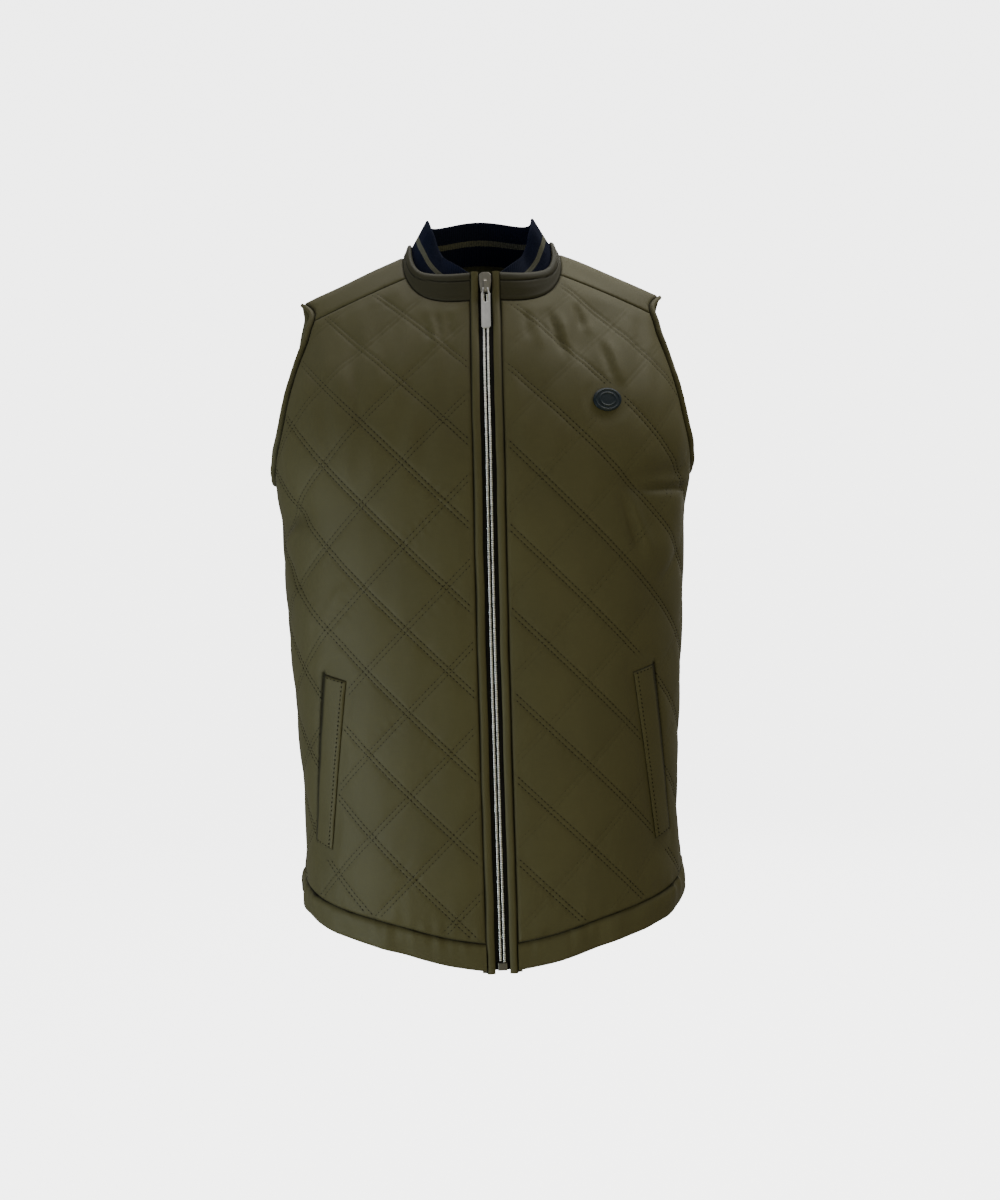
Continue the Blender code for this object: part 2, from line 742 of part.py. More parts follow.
def front_outline():
    """The left front in its own arc lengths: up the opening, round and back along the hem."""
    hem = hem_part(FRONT, HEM_BAND, FRONT_EDGE).even(HEM_STEP)
    side = side_part(FRONT, hem.read("z")[-1], ARM_OF_PANEL.read("z")[-1]).even(EDGE_STEP)
    neck = NECK_OF_PANEL.even(NECK_STEP)
    opening = even_steps([hem.flat()[0], neck.flat()[0]], EDGE_STEP)
    rest = [neck, SHOULDER.even(EDGE_STEP), ARM_OF_PANEL.even(EDGE_STEP), side.turned(), hem.turned()]
    return join_lines(opening, *[line.flat() for line in rest])


def mirrored(half_outline):
    """A whole outline from its left half, whose two ends are on the middle line."""
    right = half_outline[::-1][1:-1] * (-1, 1)
    return np.concatenate([half_outline, right])


def back_outline():
    hem = hem_part(BACK, HEM_BAND).even(HEM_STEP)
    side = side_part(BACK, hem.read("z")[-1], ARM_OF_BACK.read("z")[-1]).even(EDGE_STEP)
    lines = [BACK_YOKE_SEAM.even(EDGE_STEP), ARM_OF_BACK.even(EDGE_STEP), side.turned()]
    return mirrored(np.concatenate([line.flat()[:-1] for line in lines] + [hem.turned().flat()]))


def yoke_outline():
    lines = [
        NECK_ON_BACK.turned().even(NECK_STEP),
        NECK_OF_YOKE.turned().even(NECK_STEP),
        SHOULDER.even(EDGE_STEP),
        ARM_OF_YOKE.turned().even(EDGE_STEP),
        ARM_OF_BACK_YOKE.even(EDGE_STEP),
    ]
    seam = BACK_YOKE_SEAM.turned().even(EDGE_STEP).flat_yoke()
    return mirrored(np.concatenate([line.flat_yoke()[:-1] for line in lines] + [seam]))


def trim_places(side):
    """Where pieces are laid over a front, as short lines of points."""
    share = np.linspace(0, 1, WELT_STEPS)
    across = side * WELT_SHIFT + WELT_TOP_ACROSS + share * (WELT_BOTTOM_ACROSS - WELT_TOP_ACROSS)
    height = WELT_TOP + share * (WELT_BOTTOM - WELT_TOP)
    places = list(zip(across, height))
    if side > 0:
        places.append((BADGE_ACROSS, BADGE_HEIGHT))
    return np.array(places)


def panel_lift(points, outline, phase, trims):
    """How far a panel's outside stands off the form: wall and padding."""
    edge = ease(depth_inside(points, outline) / PUFF_FADE_AT_EDGE)
    puff = QUILT_PUFF * quilt_puff(points, phase) * edge
    if len(trims):
        distance = np.linalg.norm(points[:, None, :] - trims[None], axis=2).min(axis=1)
        puff *= ease(distance / TRIM_CLEARANCE - 1)
    return WALL + puff


def placed(half, points, folds, lift):
    """Points on a half moved by the folds, then out by a lift."""
    spots, normals = half.place(points[:, 0], points[:, 1])
    return spots + normals * (fold_lift(points, folds) + lift)[:, None]


def build_quilted(name, material, half, outline, phase, folds, trims, mirror=1):
    """A quilted panel; mirror -1 makes the wearer's right from the same outline."""
    outline = inset(outline, SEAM_GAP / 2)
    if mirror < 0:
        outline = outline * (-1, 1)
        trims = trims * (-1, 1)

    def outer(points):
        return placed(half, points, folds, panel_lift(points, outline, phase, trims))

    def inner(points):
        return placed(half, points, folds, np.zeros(len(points)))

    return build_sheet(name, material, outline, quilt_points(outline, phase),
                       grid_points(outline, PLAIN_SPACING), outer, inner)


def place_on_yoke(points, lift):
    """Yoke points, whose second value is the way back from the ridge, moved out by a lift."""
    made = np.zeros((len(points), 3))
    for half, mask in ((FRONT, points[:, 1] < 0), (BACK, points[:, 1] >= 0)):
        part = points[mask]
        row, column = half.find(half.round, np.abs(part[:, 0]), half.from_ridge, np.abs(part[:, 1]))
        spots, normals = half.pick(row, column, np.sign(part[:, 0]))
        made[mask] = spots + normals * lift
    return made


def build_yoke(material):
    outline = inset(yoke_outline(), SEAM_GAP / 2)
    inside = grid_points(outline, YOKE_SPACING)
    return build_sheet("yoke", material, outline, inside, inside,
                       lambda points: place_on_yoke(points, WALL), lambda points: place_on_yoke(points, 0.0))


def band_section(table, width, wall, bulge):
    """A band's section as distances along its width and out from the form."""
    return [(row.share_along * width, row.share_of_wall * wall + row.share_of_bulge * bulge) for row in table]


def hem_rings(half, start):
    """Rings along one half's hem band, from the middle to the side seam."""
    columns = []
    for above, out in band_section(HEM_SECTION, HEM_BAND - SEAM_GAP / 2, WALL, HEM_BULGE):
        line = hem_part(half, above, start)
        line = line.cut("round", end=line.read("round")[-1] - SEAM_GAP / 2)
        spots, normals = line.even(HEM_STEP).solid()
        columns.append(spots + normals * out)
    shortest = min(len(column) for column in columns)
    return [np.array([column[index] for column in columns]) for index in range(shortest)]


def build_hem_bands(material):
    flip = np.array((-1, 1, 1))
    front = hem_rings(FRONT, FRONT_EDGE)
    back = hem_rings(BACK, 0.0)
    sweep("hem_band_left", material, front)
    sweep("hem_band_right", material, [ring * flip for ring in front])
    sweep("hem_band_back", material, [ring * flip for ring in back[:0:-1]] + back)


def build_bindings(material):
    """A soft band round each armhole, on the opening side of its seam."""
    lines = [ARM_OF_YOKE, ARM_OF_PANEL, ARM_OF_BACK.turned(), ARM_OF_BACK_YOKE.turned()]
    parts = [line.even(EDGE_STEP).solid() for line in lines]
    spots = np.concatenate([part[0][:-1] for part in parts])
    normals = np.concatenate([part[1][:-1] for part in parts])
    along = np.roll(spots, -1, axis=0) - np.roll(spots, 1, axis=0)
    into = np.cross(normals, along)
    into /= np.linalg.norm(into, axis=1)[:, None]
    toward_middle = spots.mean(axis=0) - spots
    into *= np.sign(np.sum(into * toward_middle, axis=1))[:, None]
    section = band_section(BINDING_SECTION, BINDING_WIDTH - SEAM_GAP / 2, WALL, BINDING_BULGE)
    rings = [np.array([spot + inward * (BINDING_WIDTH - width) + normal * out for width, out in section])
             for spot, inward, normal in zip(spots, into, normals)]
    sweep("armhole_binding_left", material, rings, closed=True)
    sweep("armhole_binding_right", material, [ring * (-1, 1, 1) for ring in rings], closed=True)


class CollarBase:
    """The neck seam from the left front edge to the back middle, with the collar's directions on it."""

    def __init__(self, step, lean_column):
        parts = [line.even(step).solid() for line in (NECK_OF_PANEL, NECK_OF_YOKE, NECK_ON_BACK)]
        self.spots = np.concatenate([part[0][:-1] for part in parts] + [parts[-1][0][-1:]])
        self.panel_out = np.concatenate([part[1][:-1] for part in parts] + [parts[-1][1][-1:]])
        along = np.gradient(self.spots, axis=0)
        along[0] = (1, 0, 0)
        along[-1] = (-1, 0, 0)
        along /= np.linalg.norm(along, axis=1)[:, None]
        level = along * (1, 1, 0)
        level /= np.linalg.norm(level, axis=1)[:, None]
        inward = np.stack([-level[:, 1], level[:, 0], np.zeros(len(level))], axis=1)
        reach = np.concatenate([[0], np.cumsum(np.linalg.norm(np.diff(self.spots, axis=0), axis=1))])
        self.share = reach / reach[-1]
        self.length = reach[-1]
        shares = [row.share_round for row in COLLAR]
        leans = [getattr(row, lean_column) for row in COLLAR]
        lean = np.radians(smooth_curve(shares, leans, self.share))[:, None]
        self.band_height = smooth_curve(shares, [row.band_height for row in COLLAR], self.share)
        self.rib_height = smooth_curve(shares, [row.rib_height for row in COLLAR], self.share)
        upright = np.array((0.0, 0.0, 1.0))
        self.up = upright * np.cos(lean) + inward * np.sin(lean)
        self.out = upright * np.sin(lean) - inward * np.cos(lean)
        off_panel = np.cross(along, self.panel_out)
        off_panel *= np.sign(np.sum(off_panel * self.up, axis=1))[:, None]
        self.spots = self.spots + off_panel * SEAM_GAP / 2

    def ring(self, index, profile):
        """Section points at one station; the section's foot turns to lie along the panel's edge."""
        made = []
        for height, out in profile:
            blend = float(ease(height / COLLAR_FILLET))
            direction = self.panel_out[index] * (1 - blend) + self.out[index] * blend
            direction = direction / np.linalg.norm(direction)
            made.append(self.spots[index] + self.up[index] * height + direction * out)
        return np.array(made)


def both_sides(rings):
    """Rings from the right front edge round the back to the left, from the left half's rings."""
    return rings[:-1] + [ring * (-1, 1, 1) for ring in rings[::-1]]


def build_collar(material):
    base = CollarBase(NECK_STEP, "band_lean")
    rings = []
    for index, height in enumerate(base.band_height):
        rings.append(base.ring(index, band_section(COLLAR_SECTION, height, COLLAR_WALL, COLLAR_BULGE)))
    sweep("collar_band", material, both_sides(rings))


def build_rib(material):
    """The knitted band inside the collar: ridges on its outside, plain within."""
    base = CollarBase(RIB_PITCH / 2, "rib_lean")
    rings = []
    for index in range(len(base.spots)):
        high = base.rib_height[index]
        ridge = RIB_RELIEF * (index % 2)
        face = -RIB_CLEARANCE - RIB_RELIEF + ridge
        inside = -RIB_CLEARANCE - RIB_RELIEF - RIB_WALL
        profile = [(0.0, inside), (high - RIB_EDGE, inside), (high, (inside + face) / 2),
                   (high - RIB_EDGE, face), (high / 2, face), (0.0, face)]
        rings.append(base.ring(index, profile))
    sweep("collar_rib", material, both_sides(rings))


class Opening:
    """The front middle line, from the hem to the top of the collar, with its outward direction."""

    def __init__(self):
        body = Line(FRONT, *FRONT.find(FRONT.z, np.linspace(HEM[0].height, NECK_ON_FRONT.read("z")[0], 400),
                                       FRONT.turn, np.zeros(400))).solid()[0]
        lean = math.radians(COLLAR[0].band_lean)
        climb = np.linspace(OPENING_STEP, COLLAR_HEIGHT, int(COLLAR_HEIGHT / OPENING_STEP))[:, None]
        collar = body[-1] + climb * np.array((0, math.sin(lean), math.cos(lean)))
        path = even_steps(np.concatenate([body, collar]), OPENING_STEP)
        side = OPENING_SMOOTHING
        window = np.ones(2 * side + 1) / (2 * side + 1)
        for axis in (1, 2):
            path[side:-side, axis] = np.convolve(path[:, axis], window, mode="valid")
        self.path = path
        self.reach = np.concatenate([[0], np.cumsum(np.linalg.norm(np.diff(path, axis=0), axis=1))])
        self.top = self.reach[-1]
        self.neck = self.top - COLLAR_HEIGHT

    def at(self, reach):
        reach = np.asarray(reach, float)
        spots = np.stack([np.interp(reach, self.reach, column) for column in self.path.T], axis=1)
        ahead = np.stack([np.interp(reach + 1, self.reach, column) for column in self.path.T], axis=1)
        behind = np.stack([np.interp(reach - 1, self.reach, column) for column in self.path.T], axis=1)
        up = ahead - behind
        up /= np.linalg.norm(up, axis=1)[:, None]
        out = np.stack([np.zeros(len(up)), -up[:, 2], up[:, 1]], axis=1)
        return spots, up, out

    def stations(self, start, end):
        near_neck = self.neck + np.array(STATIONS_NEAR_NECK)
        body = np.linspace(start, self.neck - BODY_STATIONS_STOP, ZIP_STATIONS)
        middle = np.concatenate([body, near_neck])
        middle = middle[(middle > start + 1) & (middle < end - 1)]
        return np.concatenate([[start], middle, [end]])

    def strip(self, name, material, start, end, section):
        """A strip along the opening; its section gives distances across and out."""
        spots, _, out = self.at(self.stations(start, end))
        rings = [np.array([spot + np.array((x, 0, 0)) + direction * lift for x, lift in section])
                 for spot, direction in zip(spots, out)]
        return sweep(name, material, rings)

    def frame(self, reach):
        spots, up, out = self.at([reach])
        return spots[0], up[0], out[0]


OPENING = Opening()


def build_opening(olive, black, silver):
    """Edge strips, zip tapes and the chain of closed teeth."""
    shoulder = STRIP_TOP - (STRIP_TOP - STRIP_BOTTOM) * STRIP_BEVEL_SHARE
    strip = [
        (STRIP_INNER, STRIP_BOTTOM),
        (STRIP_OUTER, STRIP_BOTTOM),
        (STRIP_OUTER, shoulder),
        (STRIP_OUTER - STRIP_BEVEL, STRIP_TOP),
        (STRIP_INNER + STRIP_BEVEL, STRIP_TOP),
        (STRIP_INNER, shoulder),
    ]
    tape = [(TAPE_INNER, 0), (TAPE_OUTER, 0), (TAPE_OUTER, TAPE_THICK), (TAPE_INNER, TAPE_THICK)]
    for side, name in ((1, "left"), (-1, "right")):
        OPENING.strip("edge_strip_" + name, olive, 0, OPENING.top, [(side * x, lift) for x, lift in strip])
        OPENING.strip("zip_tape_" + name, black, BOX_FROM_HEM, OPENING.top - 1,
                      [(side * x, lift) for x, lift in tape])
    chain = [(-CHAIN_HALF_WIDTH, CHAIN_BOTTOM), (CHAIN_HALF_WIDTH, CHAIN_BOTTOM),
             (CHAIN_HALF_WIDTH, CHAIN_TOP - CHAIN_BEVEL), (CHAIN_HALF_WIDTH - CHAIN_BEVEL, CHAIN_TOP),
             (-CHAIN_HALF_WIDTH + CHAIN_BEVEL, CHAIN_TOP), (-CHAIN_HALF_WIDTH, CHAIN_TOP - CHAIN_BEVEL)]
    OPENING.strip("zip_chain", silver, BOX_FROM_HEM + BOX_LENGTH + SEAM_GAP,
                  OPENING.neck + SLIDER_FROM_NECK - SEAM_GAP, chain)


def in_frame(frame, points):
    """Points given as across, up and out in a frame of the opening."""
    spot, up, out = frame
    return np.array([spot + np.array((x, 0, 0)) + up * rise + out * lift for x, rise, lift in points])


def both_halves(right_half):
    """A closed outline from its right half, given upwards."""
    return right_half + [(-x, rise) for x, rise in reversed(right_half)]


def build_slider(silver):
    """The slider's body with a bridge for the pull tab over it."""
    frame = OPENING.frame(OPENING.neck + SLIDER_FROM_NECK)
    outline = both_halves([
        (SLIDER_HALF_BOTTOM, 0),
        (SLIDER_HALF_TOP, SLIDER_LENGTH * SLIDER_SHOULDER),
        (SLIDER_HALF_TOP, SLIDER_LENGTH * SLIDER_NOSE_STARTS),
        (SLIDER_HALF_TOP * SLIDER_NOSE, SLIDER_LENGTH),
    ])
    layers = ((SLIDER_BOTTOM, 1.0), (SLIDER_TOP - SLIDER_BEVEL, 1.0), (SLIDER_TOP, SLIDER_CROWN))
    rings = [in_frame(frame, [(x * shrink, rise, lift) for x, rise in outline]) for lift, shrink in layers]
    slider = sweep("zip_slider", silver, rings)
    foot = SLIDER_TOP - BRIDGE_SINK
    top = SLIDER_TOP + BRIDGE_RISE
    eye_top = top - BRIDGE_BAR
    eye_high = BRIDGE_HIGH - BRIDGE_BACK_BAR
    arch = [
        (BRIDGE_LOW, foot),
        (BRIDGE_LOW, top - BRIDGE_CORNER),
        (BRIDGE_LOW + BRIDGE_BAR, top),
        (BRIDGE_HIGH - BRIDGE_BACK_SLOPE, top),
        (BRIDGE_HIGH, foot),
        (eye_high, foot),
        (eye_high - BRIDGE_EYE_SLOPE, eye_top),
        (BRIDGE_LOW + BRIDGE_BAR, eye_top),
        (BRIDGE_LOW + BRIDGE_BAR, foot),
    ]
    rings = [in_frame(frame, [(x, rise, lift) for rise, lift in arch])
             for x in (-BRIDGE_HALF_WIDTH, BRIDGE_HALF_WIDTH)]
    bridge = sweep("bridge_form", silver, rings)
    bridge.hide_render = True
    bridge.display_type = "WIRE"
    join = slider.modifiers.new("bridge", "BOOLEAN")
    join.operation = "UNION"
    join.object = bridge
    return slider


def build_pull(silver):
    """The pull tab: a plate with a slot that takes the slider's bridge, hung on its top bar."""
    spot, up, out = OPENING.frame(OPENING.neck + SLIDER_FROM_NECK)
    axis = spot + up * PULL_AXIS_UP + out * PULL_AXIS_OUT
    lean = math.radians(PULL_LEAN)
    down = np.array((0, -math.sin(lean), -math.cos(lean)))
    front = np.array((0, -math.cos(lean), math.sin(lean)))
    outer = both_halves([
        (PULL_NECK_HALF_WIDTH, -PULL_BAR),
        (PULL_NECK_HALF_WIDTH, PULL_NECK_ENDS),
        (PULL_HALF_WIDTH, PULL_SHOULDER),
        (PULL_HALF_WIDTH, PULL_LENGTH - PULL_CORNER_LENGTH),
        (PULL_HALF_WIDTH - PULL_CORNER_WIDTH, PULL_LENGTH),
    ])
    slot = both_halves([
        (SLOT_NECK_HALF_WIDTH, PULL_BAR),
        (SLOT_NECK_HALF_WIDTH, SLOT_NECK_ENDS),
        (PULL_SLOT_HALF_WIDTH, SLOT_SHOULDER),
        (PULL_SLOT_HALF_WIDTH, PULL_SLOT_LENGTH - SLOT_ROUND_STARTS),
        (PULL_SLOT_HALF_WIDTH * SLOT_END_SHARE, PULL_SLOT_LENGTH),
    ])
    count = len(outer)
    half_thick = PULL_THICK / 2
    layers = [(outer, -half_thick), (slot, -half_thick), (slot, half_thick), (outer, half_thick)]
    points = [axis + np.array((x, 0, 0)) + down * drop + front * lift
              for loop, lift in layers for x, drop in loop]
    faces = []
    for layer in range(len(layers)):
        following = (layer + 1) % len(layers)
        for index in range(count):
            after = (index + 1) % count
            faces.append((layer * count + index, layer * count + after,
                          following * count + after, following * count + index))
    return make_object("zip_pull", points, faces, silver, origin=axis)


def build_box(silver):
    """The block that holds the two tapes together at the hem."""
    frame = OPENING.frame(BOX_FROM_HEM + BOX_LENGTH / 2)
    half = BOX_LENGTH / 2
    corners = both_halves([(BOX_HALF_WIDTH, -half), (BOX_HALF_WIDTH, half)])
    layers = ((CHAIN_BOTTOM, 1.0), (BOX_TOP - BOX_BEVEL, 1.0), (BOX_TOP, BOX_CROWN))
    rings = [in_frame(frame, [(x * shrink, rise * shrink, lift) for x, rise in corners])
             for lift, shrink in layers]
    return sweep("zip_box", silver, rings)


def build_welts(material):
    """A slanted strip over each pocket slit, on a part of the front that is not padded."""
    over = np.array([row.share_across for row in WELT_SECTION])
    lift = WALL + WELT_LIFT + WELT_THICK * np.array([row.share_of_thickness for row in WELT_SECTION])
    for side, name, folds in ((1, "left", FOLDS_LEFT), (-1, "right", other_side(FOLDS_RIGHT))):
        rings = []
        for share in np.linspace(0, 1, WELT_STEPS):
            across = WELT_TOP_ACROSS + share * (WELT_BOTTOM_ACROSS - WELT_TOP_ACROSS)
            height = WELT_TOP + share * (WELT_BOTTOM - WELT_TOP)
            sideways = WELT_SHIFT + side * (across + over * WELT_WIDTH)
            points = np.stack([sideways, height + over * WELT_SKEW], axis=1)
            rings.append(placed(FRONT, points, folds, lift))
        sweep("welt_" + name, material, rings)


def build_badge(material):
    """An oval badge with plain rings raised on it."""
    turn = np.linspace(0, 2 * math.pi, BADGE_SIDES, endpoint=False)
    oval = np.stack([np.cos(turn), np.sin(turn) * BADGE_TALL_SHARE], axis=1)
    middle = np.array((BADGE_ACROSS, BADGE_HEIGHT))
    rings = []
    for row in BADGE_SECTION:
        points = middle + oval * row.share_of_radius * BADGE_RADIUS
        rise = row.share_of_thickness * BADGE_THICK + row.share_of_rise * BADGE_RING_RISE
        rings.append(placed(FRONT, points, FOLDS_LEFT, np.full(BADGE_SIDES, WALL + BADGE_LIFT + rise)))
    sweep("badge", material, rings)


def build_all():
    clear_scene()
    quilted = make_material("quilted_cloth", OLIVE, 0.8, 0.0)
    plain = make_material("plain_cloth", OLIVE, 0.75, 0.0)
    knit = make_material("rib_knit", NAVY, 0.9, 0.0)
    tape = make_material("zip_tape", BLACK, 0.8, 0.0)
    metal = make_material("zip_metal", SILVER, 0.3, 1.0)
    patch = make_material("badge", NAVY, 0.6, 0.0)
    outline = front_outline()
    build_quilted("front_left", quilted, FRONT, outline, QUILT_LEFT, FOLDS_LEFT, trim_places(1))
    right_phase = QuiltPhase(-QUILT_RIGHT.across, QUILT_RIGHT.height)
    right_folds = other_side(FOLDS_RIGHT)
    build_quilted("front_right", quilted, FRONT, outline, right_phase, right_folds, trim_places(-1), -1)
    build_quilted("back", quilted, BACK, back_outline(), QUILT_BACK, FOLDS_BACK, np.zeros((0, 2)))
    build_yoke(plain)
    build_hem_bands(plain)
    build_bindings(plain)
    build_collar(plain)
    build_rib(knit)
    build_opening(plain, tape, metal)
    build_slider(metal)
    build_pull(metal)
    build_box(metal)
    build_welts(plain)
    build_badge(patch)


if __name__ == "__main__":
    build_all()
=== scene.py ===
"""Looks of the quilted sleeveless jacket: finer cloth shells, sewing, zip teeth, finishes, light and camera.

Sizes are in millimetres until a mesh is made. The wearer faces -Y, +Z is up and +X is the wearer's left.
"""

import math
from collections import namedtuple

import bmesh
import bpy
import numpy as np
from mathutils import Matrix, Vector
from mathutils.geometry import delaunay_2d_cdt


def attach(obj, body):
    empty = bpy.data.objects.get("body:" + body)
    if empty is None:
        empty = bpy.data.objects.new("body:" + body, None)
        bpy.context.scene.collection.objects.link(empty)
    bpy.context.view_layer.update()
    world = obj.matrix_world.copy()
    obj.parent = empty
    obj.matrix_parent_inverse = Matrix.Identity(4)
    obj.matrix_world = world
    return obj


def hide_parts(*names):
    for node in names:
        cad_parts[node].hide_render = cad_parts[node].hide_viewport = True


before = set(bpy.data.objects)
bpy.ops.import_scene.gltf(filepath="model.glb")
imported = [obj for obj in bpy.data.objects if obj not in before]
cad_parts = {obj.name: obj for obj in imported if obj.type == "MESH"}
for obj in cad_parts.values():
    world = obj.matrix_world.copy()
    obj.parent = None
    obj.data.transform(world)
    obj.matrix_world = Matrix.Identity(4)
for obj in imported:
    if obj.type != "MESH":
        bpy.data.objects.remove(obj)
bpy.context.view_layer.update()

MM = 0.001

# The form the cloth hangs on: level rings, from below the hem up to the shoulder ridge
# drop is measured down from the ridge over the middle of the neck
Section = namedtuple("Section", "drop half_width front back")
SECTIONS = [
    Section(760, 174, 119, 114),
    Section(690, 177, 121, 116),
    Section(626, 179, 123, 117),
    Section(561, 175, 124, 116),
    Section(491, 178, 126, 115),
    Section(411, 183, 128, 117),
    Section(344, 187, 129, 121),
    Section(263, 191, 129, 127),
    Section(206, 199, 125, 131),
    Section(165, 196, 114, 130),
    Section(130, 193, 100, 124),
    Section(100, 190, 85, 113),
    Section(78, 188, 72, 101),
    Section(50, 185, 54, 80),
    Section(30, 184, 39, 60),
    Section(12, 183, 21, 34),
    Section(3, 183, 9, 14),
    Section(0, 183, 0, 0),
]
RING_SQUARENESS = 2.4
RIDGE_HEIGHT = 18.5
SHOULDER_SLOPE = 0.482
SHOULDER_ROUNDING = 50
DROOP_ENDS_AT_DROP = 206
LEVEL_STEPS = 400
ANGLE_STEPS = 161
SEARCH_TURNS = 60
SEARCH_START = 0.6
SEARCH_ROW_STEP = 24
SEARCH_COLUMN_STEP = 14

# Seams laid on that form
SEAM_GAP = 0.3
FORWARD_SHOULDER_DROP = 25
BACK_YOKE_SEAM_HEIGHT = -84
NECK_HALF_WIDTH = 75
NECK_FRONT = -66
NECK_BACK = 44
NECK_SQUARENESS = 2.7
NECK_SEARCH_START = 0.93
HemRow = namedtuple("HemRow", "share_round height")
HEM = [
    HemRow(0.0, -658),
    HemRow(0.18, -651),
    HemRow(0.38, -639),
    HemRow(0.72, -623),
    HemRow(1.0, -609),
    HemRow(1.3, -607),
    HemRow(2.0, -613),
]
ArmholeRow = namedtuple("ArmholeRow", "height front back")
ARMHOLE = [
    ArmholeRow(-43, 0, 0),
    ArmholeRow(-52, 14, 17),
    ArmholeRow(-75, 27, 33),
    ArmholeRow(-106, 38, 45),
    ArmholeRow(-140, 48, 52),
    ArmholeRow(-175, 49, 49),
    ArmholeRow(-203, 32, 32),
    ArmholeRow(-214, 14, 14),
    ArmholeRow(-217, 0, 0),
]

# How many points each seam is worked out at
NECK_POINTS = 181
ARMHOLE_POINTS = 241
HEM_POINTS = 101
SIDE_POINTS = 81
SHOULDER_POINTS = 61
BACK_YOKE_POINTS = 101
OPENING_POINTS = 400
WELT_LINE_POINTS = 60

# The cloth wall and its quilting: double sewn rows both ways, with pillows between them
WALL = 3.0
QUILT_PERIOD = 75.0
ROW_SPACING = QUILT_PERIOD / math.sqrt(2)
ROW_GAP = 4.2
STOPS_AT_ROW = (-3.4, -2.1, -1.0, 0.0, 1.0, 2.1, 3.4)
STOP_BETWEEN_ROWS = 2.7
SEWN_WIDTH = 0.65
SEWN_DEPTH = 0.35
PILLOW_RISE = 1.35
PUFF_ROUNDNESS = 2.5
PUFF_FADE_AT_EDGE = 16.0
LEAST_PULL = 0.35
PUCKER_LENGTH = 8.5
PUCKER_REACH = 11.0
PUCKER_HEIGHT = 0.24
PUCKER_STRENGTH = 0.6
FAINT_FROM = -190.0
FAINT_CHEST = 0.55
CHEST_FROM = -260.0
CHEST_FADE = 120.0
WRINKLE_BELOW_CHEST = 0.3
HEM_RISES = 70.0
GATHER_REACH = 10.0
Quilting = namedtuple("Quilting", "across height falling_share seed")
QUILT_LEFT = Quilting(47, -288, 0.35, 11)
QUILT_RIGHT = Quilting(40, -235, 0.65, 17)
QUILT_BACK = Quilting(0, -250, 0.65, 23)

# Edges of the cloth panels and the spacing of their points
EDGE_STEP = 4.0
EDGE_LOOPS = (1.2, 2.6)
EDGE_LOOP_CLEAR = 0.7
EDGE_ROLL = 4.0
EDGE_ROLL_DEPTH = 1.5
SEAM_LAP = 0.2
SEAM_SHADE_WIDTH = 0.9
INSIDE_SPACING = 14.0
YOKE_SPACING = 4.5
SHARP_ANGLE = 55.0
POINTS_AT_ONCE = 4000

# Soft uneven wrinkles: across and up say how fast they change each way
Wrinkles = namedtuple("Wrinkles", "height length across up seed")
WRINKLE_WAVES = 14
SHORTEST_WAVE = 0.7
LONGEST_WAVE = 1.6
CHEST_WRINKLES = Wrinkles(0.4, 24, 1.0, 0.3, 7)
HEM_GATHERS = Wrinkles(0.85, 13, 1.0, 0.25, 9)
PUCKER_WANDER = Wrinkles(3.0, 45, 1.0, 1.0, 0)
PUCKER_CHANGE = Wrinkles(0.5, 90, 1.0, 1.0, 5)
YOKE_WRINKLES = Wrinkles(0.5, 38, 0.5, 1.0, 31)
BAND_GATHERS = Wrinkles(0.8, 11, 1.0, 0.2, 0)
BAND_WRINKLES = Wrinkles(1.0, 34, 1.0, 0.55, 1)
BINDING_WRINKLES = Wrinkles(0.25, 15, 1.0, 0.3, 61)
COLLAR_WRINKLES = Wrinkles(0.55, 30, 0.4, 1.5, 71)
STRIP_WOBBLE = Wrinkles(0.2, 45, 1.0, 1.0, 81)
WELT_WRINKLES = Wrinkles(0.2, 26, 1.0, 1.0, 91)
BAND_SEEDS = {"left": 41, "right": 47, "back": 53}

# The largest folds and the finer creases: soft troughs (minus) and ridges (plus) across a panel
Fold = namedtuple("Fold", "across height turn length width depth")
FOLD_FULLNESS = 1.4
FOLDS_LEFT = [
    Fold(165, -218, 4, 120, 11, -5.0),
    Fold(176, -262, 68, 110, 22, 4.0),
    Fold(92, -70, 72, 90, 13, -2.5),
]
FOLDS_RIGHT = [
    Fold(205, -246, -12, 100, 12, -5.0),
    Fold(180, -330, 42, 110, 20, 3.5),
    Fold(130, -140, 84, 110, 16, 2.5),
]
FOLDS_BACK = [
    Fold(130, -270, 28, 190, 22, -4.0),
    Fold(-130, -270, -28, 190, 22, -4.0),
    Fold(60, -430, 70, 240, 26, 3.0),
]
CREASES_LEFT = [
    Fold(66, -73, -76, 62, 4.0, -2.5),
    Fold(74, -76, -76, 66, 5.0, 2.0),
    Fold(90, -53, -77, 36, 4.0, -2.1),
    Fold(97, -58, -78, 44, 5.0, 1.4),
    Fold(114, -106, -78, 62, 4.5, -2.2),
    Fold(122, -104, -77, 62, 5.5, 1.7),
    Fold(38, -66, -84, 40, 4.0, -1.4),
    Fold(48, -72, -80, 52, 5.0, 1.2),
    Fold(130, -256, -71, 72, 5.5, -2.8),
    Fold(141, -262, -66, 84, 7.0, 2.2),
    Fold(180, -227, 0, 104, 3.6, -3.8),
    Fold(180, -219, 2, 104, 6.0, 2.6),
    Fold(182, -300, 38, 60, 6.0, -1.8),
    Fold(150, -604, 74, 34, 6.0, -1.5),
]
